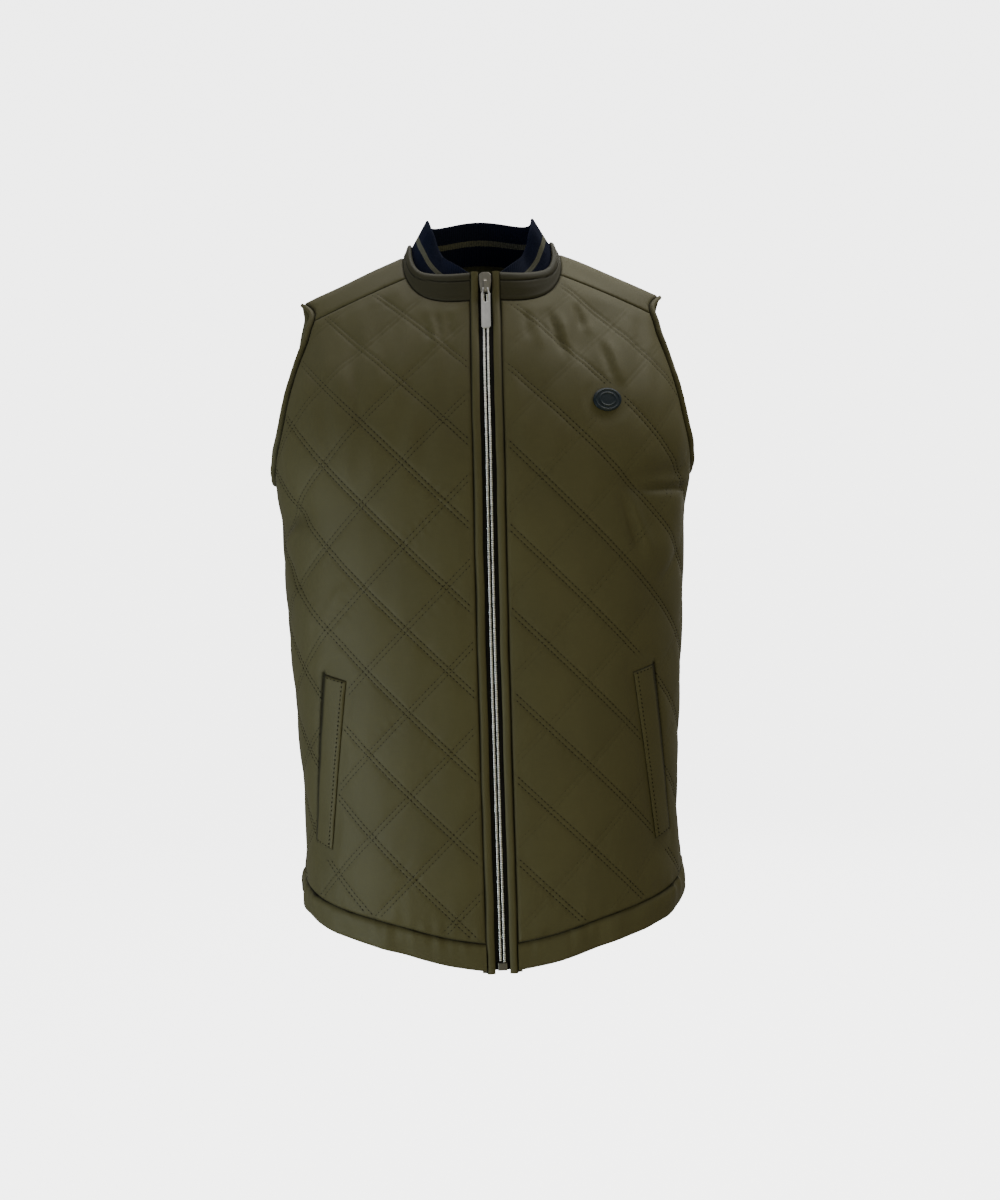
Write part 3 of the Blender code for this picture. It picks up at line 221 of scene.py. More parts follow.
CREASES_RIGHT = [
    Fold(33, -64, 86, 36, 3.5, -1.4),
    Fold(43, -66, 84, 40, 3.5, -1.7),
    Fold(54, -66, 80, 38, 4.0, -1.4),
    Fold(48, -70, 82, 44, 3.5, 1.2),
    Fold(118, -136, 84, 80, 5.0, -1.8),
    Fold(196, -300, 40, 64, 6.0, -2.0),
    Fold(204, -262, -30, 50, 5.0, 1.8),
    Fold(150, -327, -50, 62, 5.0, 2.2),
    Fold(157, -335, -50, 66, 5.0, -1.6),
    Fold(96, -112, 76, 70, 7.0, 1.4),
    Fold(64, -618, 66, 34, 6.0, -1.5),
    Fold(130, -606, 100, 30, 5.0, -1.4),
]
CREASES_BACK = [
    Fold(90, -150, 70, 110, 7.0, -1.2),
    Fold(-84, -158, -66, 120, 7.0, -1.3),
    Fold(28, -200, 84, 90, 8.0, 0.9),
    Fold(-150, -330, 34, 100, 7.0, -1.2),
    Fold(146, -350, -30, 110, 8.0, -1.2),
    Fold(-60, -520, 60, 90, 8.0, 1.0),
]

# The front opening, from the middle outwards, and the zip on it
CHAIN_HALF_WIDTH = 2.8
TAPES_MEET = -0.02
TAPE_INNER = 0.4
TAPE_OUTER = 13.7
TAPE_THICK = 0.6
TAPE_BELOW_TOP = 1.0
STRIP_INNER = 6.7
STRIP_OUTER = 14.0
FRONT_EDGE = STRIP_OUTER + SEAM_GAP
STRIP_BOTTOM = 0.9
STRIP_TOP = 3.2
STRIP_BEVEL = 1.0
STRIP_BEVEL_SHARE = 0.25
STRIP_STEP = 4.0
STRIP_POINTS = 18
AllowancePoint = namedtuple("AllowancePoint", "across out")
ALLOWANCE_SECTION = [
    AllowancePoint(14.6, -0.2),
    AllowancePoint(18.0, -1.2),
    AllowancePoint(18.0, -1.6),
    AllowancePoint(14.0, -0.5),
]
OPENING_STEP = 1.0
OPENING_SMOOTHING = 4
SLIDER_FROM_NECK = 8.0
BOX_LENGTH = 7.0
BOX_FROM_HEM = 3.0
METAL_EDGE = 0.25
METAL_EDGE_STEPS = 3
METAL_EDGE_ANGLE = 25.0
FLAT_ANGLE = 1.0
SAME_POINT = 1e-6

# Hem band, armhole binding, collar
# A band's section goes once round it: share of its width from its free edge, or of its height,
# then how much of its wall and of its bulge lies under the point
BandPoint = namedtuple("BandPoint", "share_along share_of_wall share_of_bulge")
BAND_POINTS = 34
HEM_BAND = 25.0
HEM_BULGE = 1.9
HEM_STEP = 4.0
HEM_STATIONS = 130
HEM_GATHER_REACH = 9.0
HEM_SEAM_DEPTH = 1.6
HEM_SEAM_WIDTH = 2.4
HEM_SECTION = [
    BandPoint(1.0, 0.0, 0.0),
    BandPoint(0.5, -0.1, 0.0),
    BandPoint(0.08, 0.07, 0.0),
    BandPoint(0.0, 0.5, 0.0),
    BandPoint(0.06, 1.0, 0.5),
    BandPoint(0.35, 1.0, 1.0),
    BandPoint(0.72, 1.0, 1.0),
    BandPoint(1.0, 1.0, 0.0),
]
BINDING_WIDTH = 7.0
BINDING_BULGE = 0.9
BINDING_STEP = 3.5
BINDING_FLARE = 38.0
BINDING_DRAWN_IN = 0.45
BINDING_SEAM_DEPTH = 1.3
BINDING_SEAM_WIDTH = 1.3
BINDING_SECTION = [
    BandPoint(1.0, 0.0, 0.0),
    BandPoint(1.0, 1.0, 0.0),
    BandPoint(0.55, 1.0, 1.0),
    BandPoint(0.15, 0.9, 0.0),
    BandPoint(0.0, 0.5, 0.0),
    BandPoint(0.2, 0.03, 0.0),
]
COLLAR_HEIGHT = 28.0
COLLAR_WALL = 2.6
COLLAR_BULGE = 0.4
COLLAR_FILLET = 5.0
COLLAR_POINTS = 48
COLLAR_STITCH_BELOW_TOP = 8.0
COLLAR_GROOVE = 0.9
COLLAR_LINE_SHADE = 0.9
COLLAR_SEAM_DEPTH = 1.2
COLLAR_SEAM_WIDTH = 2.0
NECK_STEP = 3.0
COLLAR_SECTION = [
    BandPoint(0.0, 0.0, 0.0),
    BandPoint(0.18, 0.0, 0.0),
    BandPoint(0.5, 0.0, 0.0),
    BandPoint(0.96, 0.04, 0.0),
    BandPoint(1.0, 0.5, 0.0),
    BandPoint(0.96, 1.0, 0.0),
    BandPoint(0.5, 1.0, 1.0),
    BandPoint(0.18, 1.0, 0.0),
    BandPoint(0.0, 1.0, 1.0),
]
RIB_WALL = 2.0
RIB_CLEARANCE = 0.8
RIB_RELIEF = 0.45
RIB_PITCH = 2.5
STEPS_IN_RIB = 4
RIB_ROWS = 9
RIB_EDGE = 0.8
STRIPE_FROM_TOP = 20.5
STRIPE_WIDTH = 6.0
CollarRow = namedtuple("CollarRow", "share_round band_lean band_height rib_lean rib_height")
COLLAR = [
    CollarRow(0.0, 9, COLLAR_HEIGHT, 9, 28.4),
    CollarRow(0.06, 11, COLLAR_HEIGHT, 16, 39),
    CollarRow(0.17, 18, 27, 30, 53),
    CollarRow(0.3, 24, 20, 30, 54),
    CollarRow(0.5, 30, 16, 31, 46),
    CollarRow(0.75, 22, 18, 25, 42),
    CollarRow(1.0, 14, 20, 16, 41),
]

# Pocket welts, each with its slit along the side away from the zip
WELT_SHIFT = -2.5
WELT_TOP_ACROSS = 145.0
WELT_BOTTOM_ACROSS = 169.0
WELT_TOP = -391.0
WELT_BOTTOM = -548.0
WELT_WIDTH = 22.0
WELT_SKEW = 5.0
WELT_THICK = 2.2
WELT_SIT = 0.4
WELT_STEP = 2.6
WELT_POINTS = 26
WELT_END_STATIONS = (0.0, 0.4, 1.0, 1.8, 2.8)
WELT_END_THIN = 0.02
WELT_END_SHADE = 0.8
WELT_STITCH_IN = 2.0
WELT_CLEARANCE = 15.0
CLEARANCE_FADE = 10.0
SLIT_ACROSS = 0.64
SLIT_DEPTH = 1.5
SLIT_HALF_WIDTH = 1.8
SLIT_SHADE_WIDTH = 2.2
STOPS_AT_SLIT = (-2.4, -1.2, 0.0, 1.2, 2.4)
WeltPoint = namedtuple("WeltPoint", "share_across share_of_thickness")
WELT_SECTION = [
    WeltPoint(-0.5, 0.0),
    WeltPoint(0.5, 0.0),
    WeltPoint(0.5, 0.6),
    WeltPoint(0.3, 1.0),
    WeltPoint(-0.3, 1.0),
    WeltPoint(-0.5, 0.6),
]

# Badge, with two raised rings
BADGE_ACROSS = 110.0
BADGE_HEIGHT = -145.0
BADGE_RADIUS = 13.5
BADGE_TALL_SHARE = 0.82
BADGE_LIFT = 0.9
BADGE_THICK = 1.5
BADGE_UNDER_SHARE = 0.3
BADGE_RIM_SHARE = 0.8
BADGE_TOP_FROM = 0.97
BADGE_TOP_TO = 0.04
BADGE_TOP_RINGS = 44
BADGE_RINGS_AT = (0.86, 0.56)
BADGE_RING_RISE = 0.5
BADGE_RING_WIDTH = 0.045
BADGE_SIDES = 72
BADGE_CLEARANCE = 17.0

# Sewing and teeth
STITCH_STEP = 4.0
STITCH_LENGTH = 2.4
STITCH_WIDTH = 0.9
STITCH_RISE = 0.12
STITCH_SINK = 0.75
STITCH_LOOK_AHEAD = 0.5
STITCH_SIDES = 6
STITCH_RINGS = 4
TOOTH_PITCH = 1.6
TOOTH_WIDTH = 2.05
TOOTH_RADIUS = 0.68
TOOTH_MIDDLE = 1.78
TOOTH_OUT = 2.1
TOOTH_SIDES = 8
COPIES_SEED = 3
COPIES_SMALLEST = 0.82

# The garment hangs a little off its middle: sideways shift of everything at a height
Hang = namedtuple("Hang", "height sideways")
HANG = [
    Hang(-700, 0),
    Hang(-200, 0),
    Hang(-110, 1.5),
    Hang(-45, 4),
    Hang(60, 4),
]

# Cut widths and lengths of the narrow pieces
HEM_CUT = {"hem_band_left": 290.0, "hem_band_right": 290.0, "hem_band_back": 570.0}
BINDING_CUT = 10.0
STRIP_CUT = 14.0

# Finishes: colours are linear red, green and blue, darker and lighter are shares of the colour
Finish = namedtuple(
    "Finish",
    "colour darker lighter roughness roughness_range specular relief relief_strength",
)
OLIVE = Finish((0.0528, 0.0472, 0.0172), 0.86, 1.12, 0.56, 0.08, 0.22, 0.05, 0.5)
# Painted shade: the collar band is the same olive cloth, darkened to about a third as painted shade on the
# band
SHADED_COLLAR_OLIVE = OLIVE._replace(colour=(0.0188, 0.0168, 0.0064))
NAVY_KNIT = Finish((0.004, 0.0056, 0.015), 0.45, 1.5, 0.8, 0.15, 0.06, 0.25, 0.6)
STRIPE_KNIT = NAVY_KNIT._replace(colour=(0.075, 0.075, 0.058), darker=0.55, lighter=1.25)
BLACK_TAPE = Finish((0.0036, 0.0033, 0.003), 0.6, 2.2, 0.7, 0.15, 0.12, 0.12, 0.7)
# Painted shade: the thread is near-black, standing in for the shade in the needle holes as well as for the
# thread
THREAD_AND_HOLE_SHADE = Finish((0.01, 0.008, 0.0036), 0.7, 1.2, 0.6, 0.2, 0.08, 0.0, 0.0)
MOULDED_NAVY = Finish((0.003, 0.008, 0.0125), 0.6, 1.6, 0.36, 0.25, 0.2, 0.1, 0.4)
ZIP_SILVER = Finish((0.78, 0.77, 0.75), 0.8, 1.08, 0.22, 0.22, 0.5, 0.02, 0.25)
SLIDER_METAL = ZIP_SILVER._replace(colour=(0.3, 0.285, 0.25), roughness=0.3)
BOX_METAL = ZIP_SILVER._replace(colour=(0.12, 0.115, 0.1), roughness=0.45)
# Painted shade in seam grooves, the pocket slit, the welt ends and along sewn lines: the seam and sewn marks
# mix the cloth towards a much darker copy of its colour
SEAM_SHADE_COLOUR = 0.06
SEAM_SHADE_DARKNESS = 0.85
SEAM_ROUGHNESS = 0.4
SEWN_SHADE_DARKNESS = 0.17
SHEEN = 0.05
SHEEN_ROUGHNESS = 0.45
SHEEN_COLOUR = (0.6, 0.57, 0.42, 1.0)

# Grain of the finishes: counts are for each millimetre of cloth, or for each metre of metal and thread
PATCHES = 1 / 70
PATCH_CONTRAST = 1.1
THREADS = 1 / 1.2
THREAD_SLENDERNESS = 0.12
THREAD_CONTRAST = 0.55
THREAD_RELIEF = 0.5
WEAVE_PITCH = 0.55
WEAVE_RELIEF = 0.6
TAPE_WEAVE_PITCH = 1.1
KNIT_FUZZ = 1 / 0.9
# Painted shade in the rib's grooves: how much of the knit's colour range follows the ridges
RIB_GROOVE_SHADE_SHARE = 0.6
NAVY_FUZZ_SHARE = 0.6
STRIPE_FUZZ_SHARE = 0.5
STRIPE_SHARPNESS = 2.5
BADGE_GRAIN = 1 / 0.7
THREAD_FUZZ = 900.0
RUBBING = 420.0
RUBBING_LENGTHENED = 0.2
FINE_DETAIL = 3

# Stage, light and camera, in metres
STAGE_FLOOR = -1.05
STAGE_RADIUS = 3.5
STAGE_COVE = 1.0
STAGE_COVE_STEPS = 9
STAGE_TOP = 5.0
STAGE_SIDES = 64
STAGE_COLOUR = (0.9, 0.9, 0.9, 1.0)
STAGE_ROUGHNESS = 0.9
STAGE_GLOW_COLOUR = (1.0, 1.0, 1.0, 1.0)
STAGE_GLOW = 4.0
ROOM_COLOUR = (1.0, 0.99, 0.97, 1.0)
ROOM_LIGHT = 0.3
LIGHTS_AIM = (0, 0, -0.3)
Light = namedtuple("Light", "name x y z size power colour")
LIGHTS = [
    Light("window", -2.1, -1.5, -0.9, 1.6, 40, (0.93, 0.97, 1.0)),
    Light("bounce", 1.4, -2.2, -0.8, 1.6, 32, (1.0, 0.93, 0.46)),
    Light("above", 0.0, 0.35, 1.5, 1.2, 25, (1.0, 0.99, 0.95)),
    Light("low window", -1.3, -0.7, -0.85, 0.4, 10, (0.84, 1.0, 1.0)),
    Light("skylight", 0.7, 0.1, 0.8, 0.5, 8, (1.0, 1.0, 0.96)),
    Light("behind", 0.6, 2.0, 0.5, 1.6, 18, (1.0, 0.99, 0.96)),
]
IMAGE_WIDTH = 1000
IMAGE_HEIGHT = 1200
CAMERA_DISTANCE = 1.6
CAMERA_AZIMUTH = -2.7
CAMERA_HEIGHT = -0.225
CAMERA_ROLL = 1.6
CAMERA_SENSOR = 36.0
CAMERA_FOCUS_PIXELS = 1650
CAMERA_MIDDLE_X = 483
CAMERA_MIDDLE_Y = 490


def hung(points):
    """Points with the garment's sideways hang."""
    points = np.array(points, float)
    heights = [row.height for row in HANG]
    points[:, 0] += smooth_curve(heights, [row.sideways for row in HANG], points[:, 2])
    return points


def smooth_curve(knots, values, at):
    """Cubic curve through the values at the knots."""
    knots = np.asarray(knots, float)
    values = np.asarray(values, float)
    slopes = np.gradient(values, knots, axis=0)
    step = np.clip(np.searchsorted(knots, at) - 1, 0, len(knots) - 2)
    length = knots[step + 1] - knots[step]
    share = (at - knots[step]) / length
    if values.ndim > 1:
        length = length[:, None]
        share = share[:, None]
    start = values[step] * (1 + 2 * share) * (1 - share) ** 2
    end = values[step + 1] * share ** 2 * (3 - 2 * share)
    leave = slopes[step] * length * share * (1 - share) ** 2
    arrive = slopes[step + 1] * length * share ** 2 * (share - 1)
    return start + end + leave + arrive


def ease(share):
    """A smooth step from 0 to 1."""
    share = np.clip(share, 0.0, 1.0)
    return share * share * (3 - 2 * share)


def fine_sections():
    """The section table drawn out smoothly, row by row, up to a ridge that is round on top."""
    rows = [np.array(row, float) for row in SECTIONS]
    before_ridge = Section(*rows[-2])
    over_ridge = Section(before_ridge.drop, before_ridge.half_width, -before_ridge.front, -before_ridge.back)
    rows.append(np.array(over_ridge, float))
    rows = np.array(rows)
    drop, _, front, back = rows.T
    steps = np.hypot(np.diff(drop), np.diff(front + back) / 2)
    knots = np.concatenate([[0], np.cumsum(steps)])
    return smooth_curve(knots, rows, np.linspace(0, knots[-2], LEVEL_STEPS))


class Half:
    """The front or the back of the form, as a grid of rings (rows) and angles (columns).

    round is the arc length along a ring from the middle; up is the arc length along a meridian;
    turn goes from 0 at the middle to 1 at the side.
    """

    def __init__(self, facing):
        drop, half_width, front, back = fine_sections().T
        depth = front if facing < 0 else back
        angle = np.linspace(0, math.pi / 2, ANGLE_STEPS)
        power = 2 / RING_SQUARENESS
        x = half_width[:, None] * np.sin(angle) ** power
        y = facing * np.clip(depth, 0, None)[:, None] * np.abs(np.cos(angle)) ** power
        y[:, -1] = 0.0
        droop = SHOULDER_SLOPE * (np.hypot(x, SHOULDER_ROUNDING) - SHOULDER_ROUNDING)
        z = RIDGE_HEIGHT - drop[:, None] - droop * ease(1 - drop / DROOP_ENDS_AT_DROP)[:, None]
        self.facing = facing
        self.turn = np.repeat(np.linspace(0, 1, ANGLE_STEPS)[None], LEVEL_STEPS, axis=0)
        self.points = np.stack([x, y, z], axis=2)
        self.x, self.y, self.z = x, y, z
        self.drop = np.repeat(drop[:, None], ANGLE_STEPS, axis=1)
        along = np.linalg.norm(np.diff(self.points, axis=1), axis=2)
        upward = np.linalg.norm(np.diff(self.points, axis=0), axis=2)
        self.round = np.concatenate([np.zeros((LEVEL_STEPS, 1)), np.cumsum(along, axis=1)], axis=1)
        climb = np.concatenate([np.zeros((1, ANGLE_STEPS)), np.cumsum(upward, axis=0)], axis=0)
        self.up = climb + z[0]
        self.from_ridge = climb[-1] - climb
        outward = np.cross(np.gradient(self.points, axis=1), np.gradient(self.points, axis=0))
        outward *= -facing
        self.normals = outward / np.linalg.norm(outward, axis=2)[:, :, None]

    def cell(self, row, column):
        """The grid cell round each position, and how far into it the position lies."""
        row0 = np.clip(np.floor(row).astype(int), 0, LEVEL_STEPS - 2)
        column0 = np.clip(np.floor(column).astype(int), 0, ANGLE_STEPS - 2)
        return row0, column0, row - row0, column - column0

    def read(self, grid, row, column):
        """A measure of the form between the points of its grid."""
        row0, column0, down, across = self.cell(row, column)
        if grid.ndim > 2:
            down = down[:, None]
            across = across[:, None]
        low = grid[row0, column0] * (1 - across) + grid[row0, column0 + 1] * across
        high = grid[row0 + 1, column0] * (1 - across) + grid[row0 + 1, column0 + 1] * across
        return low * (1 - down) + high * down

    def slopes(self, grid, row, column):
        """How fast a measure changes along the rows and along the columns."""
        row0, column0, down, across = self.cell(row, column)
        a = grid[row0, column0]
        b = grid[row0 + 1, column0]
        c = grid[row0, column0 + 1]
        d = grid[row0 + 1, column0 + 1]
        return (b - a) * (1 - across) + (d - c) * across, (c - a) * (1 - down) + (d - b) * down

    def find(self, grid_a, value_a, grid_b, value_b, start=SEARCH_START):
        """Where on the grid two of its measures have these values, by Newton's method.

        start is the share of the way up from which the search sets out.
        """
        row = np.full(len(value_a), LEVEL_STEPS * start)
        column = np.full(len(value_a), ANGLE_STEPS * 0.5)
        for _ in range(SEARCH_TURNS):
            miss_a = self.read(grid_a, row, column) - value_a
            miss_b = self.read(grid_b, row, column) - value_b
            a_row, a_column = self.slopes(grid_a, row, column)
            b_row, b_column = self.slopes(grid_b, row, column)
            size = a_row * b_column - a_column * b_row
            size = np.where(np.abs(size) < 1e-9, 1e-9, size)
            row_step = (miss_a * b_column - miss_b * a_column) / size
            column_step = (miss_b * a_row - miss_a * b_row) / size
            row = np.clip(row - np.clip(row_step, -SEARCH_ROW_STEP, SEARCH_ROW_STEP), 0, LEVEL_STEPS - 1)
            column_step = np.clip(column_step, -SEARCH_COLUMN_STEP, SEARCH_COLUMN_STEP)
            column = np.clip(column - column_step, 0, ANGLE_STEPS - 1)
        return row, column

    def place(self, across, up):
        """Points and normals at signed arc lengths from the middle and heights up the cloth."""
        across = np.asarray(across, float)
        row, column = self.find(self.round, np.abs(across), self.up, np.asarray(up, float))
        return self.pick(row, column, np.sign(across))

    def pick(self, row, column, side):
        """Points and normals at grid positions, on the wearer's left or right."""
        points = self.read(self.points, row, column)
        normals = self.read(self.normals, row, column)
        normals = normals / np.linalg.norm(normals, axis=1)[:, None]
        turn = np.stack([np.where(side < 0, -1.0, 1.0), np.ones(len(row)), np.ones(len(row))], axis=1)
        return points * turn, normals * turn


FRONT = Half(-1)
BACK = Half(1)


def even_steps(points, step):
    """The same line with its points spread evenly, about a step apart."""
    points = np.asarray(points, float)
    reach = np.concatenate([[0], np.cumsum(np.linalg.norm(np.diff(points, axis=0), axis=1))])
    count = max(2, int(round(reach[-1] / step)) + 1)
    at = np.linspace(0, reach[-1], count)
    return np.stack([np.interp(at, reach, column) for column in points.T], axis=1)


def join_lines(*lines):
    """One closed outline from lines that each start where the last one ends."""
    return np.concatenate([line[:-1] for line in lines])


def inset(outline, distance):
    """The outline moved inwards, whichever way round it runs."""
    ahead = np.roll(outline, -1, axis=0) - outline
    ahead /= np.linalg.norm(ahead, axis=1)[:, None]
    behind = np.roll(ahead, 1, axis=0)
    x, y = outline.T
    turn = np.sign(np.sum(x * np.roll(y, -1) - y * np.roll(x, -1)))
    inward = turn * np.stack([-(ahead + behind)[:, 1], (ahead + behind)[:, 0]], axis=1)
    inward /= np.linalg.norm(inward, axis=1)[:, None]
    corner = np.clip(np.abs(np.sum(inward * np.stack([-ahead[:, 1], ahead[:, 0]], axis=1), axis=1)), 0.5, 1)
    return outline + inward * distance / corner[:, None]


def grid_points(outline, spacing):
    """A plain triangular grid of points inside an outline."""
    low = outline.min(axis=0)
    high = outline.max(axis=0)
    points = []
    for line, y in enumerate(np.arange(low[1], high[1], spacing * math.sqrt(0.75))):
        shift = spacing / 2 * (line % 2)
        points.extend((x, y) for x in np.arange(low[0] + shift, high[0], spacing))
    points = np.array(points)
    return points[depth_inside(points, outline) > spacing / 3]


def fold_lift(points, folds):
    """How far a panel's folds move it out at flat points."""
    lift = np.zeros(len(points))
    for fold in folds:
        turn = math.radians(fold.turn)
        across = points[:, 0] - fold.across
        height = points[:, 1] - fold.height
        along = across * math.cos(turn) + height * math.sin(turn)
        beside = height * math.cos(turn) - across * math.sin(turn)
        taper = np.clip(1 - np.abs(along) / (fold.length / 2), 0, 1)
        lift += fold.depth * ease(taper * FOLD_FULLNESS) * np.exp(-(beside / fold.width) ** 2)
    return lift


def other_side(folds):
    """The same folds on the wearer's right."""
    return [fold._replace(across=-fold.across, turn=-fold.turn) for fold in folds]


def triangulate(outline, inside):
    """Triangles that fill an outline through the points inside it, outline points first."""
    count = len(outline)
    points = [Vector(point) for point in np.concatenate([outline, inside])]
    edges = [(index, (index + 1) % count) for index in range(count)]
    _, _, faces, sources, _, _ = delaunay_2d_cdt(points, edges, [], 1, SAME_POINT)
    source = [group[0] for group in sources]
    return [tuple(source[corner] for corner in face) for face in faces], len(points)


class Line:
    """A line on one half of the form, kept as grid positions."""

    def __init__(self, half, row, column):
        self.half = half
        self.row = np.asarray(row, float)
        self.column = np.asarray(column, float)

    def read(self, name):
        return self.half.read(getattr(self.half, name), self.row, self.column)

    def solid(self):
        return self.half.pick(self.row, self.column, np.ones(len(self.row)))

    def turned(self):
        return Line(self.half, self.row[::-1], self.column[::-1])

    def at(self, index):
        whole = np.arange(len(self.row))
        return Line(self.half, np.interp(index, whole, self.row), np.interp(index, whole, self.column))

    def cut(self, name, start=None, end=None):
        """The part of the line between two values of a measure that only rises or only falls."""
        values = self.read(name)
        whole = np.arange(len(values), dtype=float)
        order = 1 if values[-1] > values[0] else -1
        first = 0.0 if start is None else np.interp(start, values[::order], whole[::order])
        last = whole[-1] if end is None else np.interp(end, values[::order], whole[::order])
        between = whole[(whole > first) & (whole < last)]
        return self.at(np.concatenate([[first], between, [last]]))

    def even(self, step):
        """The same line with its points about a step apart."""
        points, _ = self.solid()
        reach = np.concatenate([[0], np.cumsum(np.linalg.norm(np.diff(points, axis=0), axis=1))])
        count = max(2, int(round(reach[-1] / step)) + 1)
        whole = np.arange(len(reach))
        return self.at(np.interp(np.linspace(0, reach[-1], count), reach, whole))

    def flat(self):
        """Across and up, in the half's own arc lengths."""
        return np.stack([self.read("round"), self.read("up")], axis=1)

    def flat_yoke(self):
        """Across, and back from the ridge, in arc lengths."""
        return np.stack([self.read("round"), self.half.facing * self.read("from_ridge")], axis=1)


def neck_part(half):
    """Half of the neck seam: front middle to the ridge, or the ridge to the back middle."""
    power = 2 / NECK_SQUARENESS
    middle = (NECK_FRONT + NECK_BACK) / 2
    depth = (NECK_BACK - NECK_FRONT) / 2
    at_ridge = math.acos(-math.copysign((abs(middle) / depth) ** (1 / power), -middle))
    ends = (0, at_ridge) if half.facing < 0 else (at_ridge, math.pi)
    angle = np.linspace(*ends, NECK_POINTS)
    cosine = np.cos(angle)
    x = NECK_HALF_WIDTH * np.abs(np.sin(angle)) ** power
    y = middle - depth * np.sign(cosine) * np.abs(cosine) ** power
    return Line(half, *half.find(half.x, x, half.y, y, start=NECK_SEARCH_START))


def armhole_part(half):
    """Half of the left armhole's seam, from the shoulder down to the side seam."""
    front = [(-row.front, row.height) for row in ARMHOLE]
    back = [(row.back, row.height) for row in ARMHOLE]
    side_view = front if half.facing < 0 else back
    beyond = back if half.facing < 0 else front
    loop = np.array(beyond[2:0:-1] + side_view + beyond[-2:-4:-1], float)
    knots = np.concatenate([[0], np.cumsum(np.linalg.norm(np.diff(loop, axis=0), axis=1))])
    seen = smooth_curve(knots, loop, np.linspace(knots[2], knots[-3], ARMHOLE_POINTS))
    return Line(half, *half.find(half.y, seen[:, 0], half.z, seen[:, 1]))


def hem_height(share_round):
    """The hem's height at a share of the way round, 0 at the front, 1 at the side, 2 at the back."""
    shares = [row.share_round for row in HEM]
    return smooth_curve(shares, [row.height for row in HEM], np.asarray(share_round, float))


def hem_part(half, above, start=0.0):
    """The hem moved up the cloth, from near the middle to the side seam."""
    share = np.linspace(0, 1, HEM_POINTS)
    row, column = half.find(half.z, np.full(1, hem_height(1.0) + above), half.turn, np.ones(1))
    side = half.read(half.round, row, column)[0]
    across = start + share * (side - start)
    share_round = across / side if half.facing < 0 else 2 - across / side
    return Line(half, *half.find(half.z, hem_height(share_round) + above, half.round, across))


def side_part(half, bottom, top):
    """The side seam, upwards between two heights."""
    height = np.linspace(bottom, top, SIDE_POINTS)
    return Line(half, *half.find(half.z, height, half.turn, np.ones(len(height))))


def level_part(half, start, end):
    """A seam straight across one half's grid between two single-point lines."""
    share = np.linspace(0, 1, SHOULDER_POINTS)
    row = start.row[0] + share * (end.row[0] - start.row[0])
    column = start.column[0] + share * (end.column[0] - start.column[0])
    return Line(half, row, column)


NECK_ON_FRONT = neck_part(FRONT)
NECK_ON_BACK = neck_part(BACK)
ARM_ON_FRONT = armhole_part(FRONT)
ARM_ON_BACK = armhole_part(BACK)
NECK_OF_PANEL = NECK_ON_FRONT.cut("round", start=FRONT_EDGE).cut("drop", end=FORWARD_SHOULDER_DROP)
NECK_OF_YOKE = NECK_ON_FRONT.cut("drop", start=FORWARD_SHOULDER_DROP)
ARM_OF_YOKE = ARM_ON_FRONT.cut("drop", end=FORWARD_SHOULDER_DROP)
ARM_OF_PANEL = ARM_ON_FRONT.cut("drop", start=FORWARD_SHOULDER_DROP)
ARM_OF_BACK_YOKE = ARM_ON_BACK.cut("z", end=BACK_YOKE_SEAM_HEIGHT)
ARM_OF_BACK = ARM_ON_BACK.cut("z", start=BACK_YOKE_SEAM_HEIGHT)
SHOULDER = level_part(FRONT, NECK_OF_YOKE, ARM_OF_PANEL)


def back_yoke_seam():
    """The seam across the back at one height, from the middle to the armhole."""
    reach = ARM_OF_BACK.read("round")[0]
    across = np.linspace(0, reach, BACK_YOKE_POINTS)
    height = np.full(len(across), BACK_YOKE_SEAM_HEIGHT)
    return Line(BACK, *BACK.find(BACK.z, height, BACK.round, across))


BACK_YOKE_SEAM = back_yoke_seam()


def front_outline():
    """The left front in its own arc lengths: up the opening, round and back along the hem."""
    hem = hem_part(FRONT, HEM_BAND, FRONT_EDGE).even(HEM_STEP)
    side = side_part(FRONT, hem.read("z")[-1], ARM_OF_PANEL.read("z")[-1]).even(EDGE_STEP)
    neck = NECK_OF_PANEL.even(NECK_STEP)
    opening = even_steps([hem.flat()[0], neck.flat()[0]], EDGE_STEP)
    rest = [neck, SHOULDER.even(EDGE_STEP), ARM_OF_PANEL.even(EDGE_STEP), side.turned(), hem.turned()]
    return join_lines(opening, *[line.flat() for line in rest])


def mirrored(half_outline):
    """A whole outline from its left half, whose two ends are on the middle line."""
    right = half_outline[::-1][1:-1] * (-1, 1)
    return np.concatenate([half_outline, right])


def back_outline():
    """The whole back in its own arc lengths, from the yoke seam down to the hem."""
    hem = hem_part(BACK, HEM_BAND).even(HEM_STEP)
    side = side_part(BACK, hem.read("z")[-1], ARM_OF_BACK.read("z")[-1]).even(EDGE_STEP)
    lines = [BACK_YOKE_SEAM.even(EDGE_STEP), ARM_OF_BACK.even(EDGE_STEP), side.turned()]
    return mirrored(np.concatenate([line.flat()[:-1] for line in lines] + [hem.turned().flat()]))


def yoke_outline():
    """The whole yoke in arc lengths across and back from the ridge."""
    lines = [
        NECK_ON_BACK.turned().even(NECK_STEP),
        NECK_OF_YOKE.turned().even(NECK_STEP),
        SHOULDER.even(EDGE_STEP),
        ARM_OF_YOKE.turned().even(EDGE_STEP),
        ARM_OF_BACK_YOKE.even(EDGE_STEP),
    ]
    seam = BACK_YOKE_SEAM.turned().even(EDGE_STEP).flat_yoke()
    return mirrored(np.concatenate([line.flat_yoke()[:-1] for line in lines] + [seam]))


def band_section(table, width, wall, bulge):
    """A band's section as distances along its width and out from the form."""
    return [(row.share_along * width, row.share_of_wall * wall + row.share_of_bulge * bulge) for row in table]


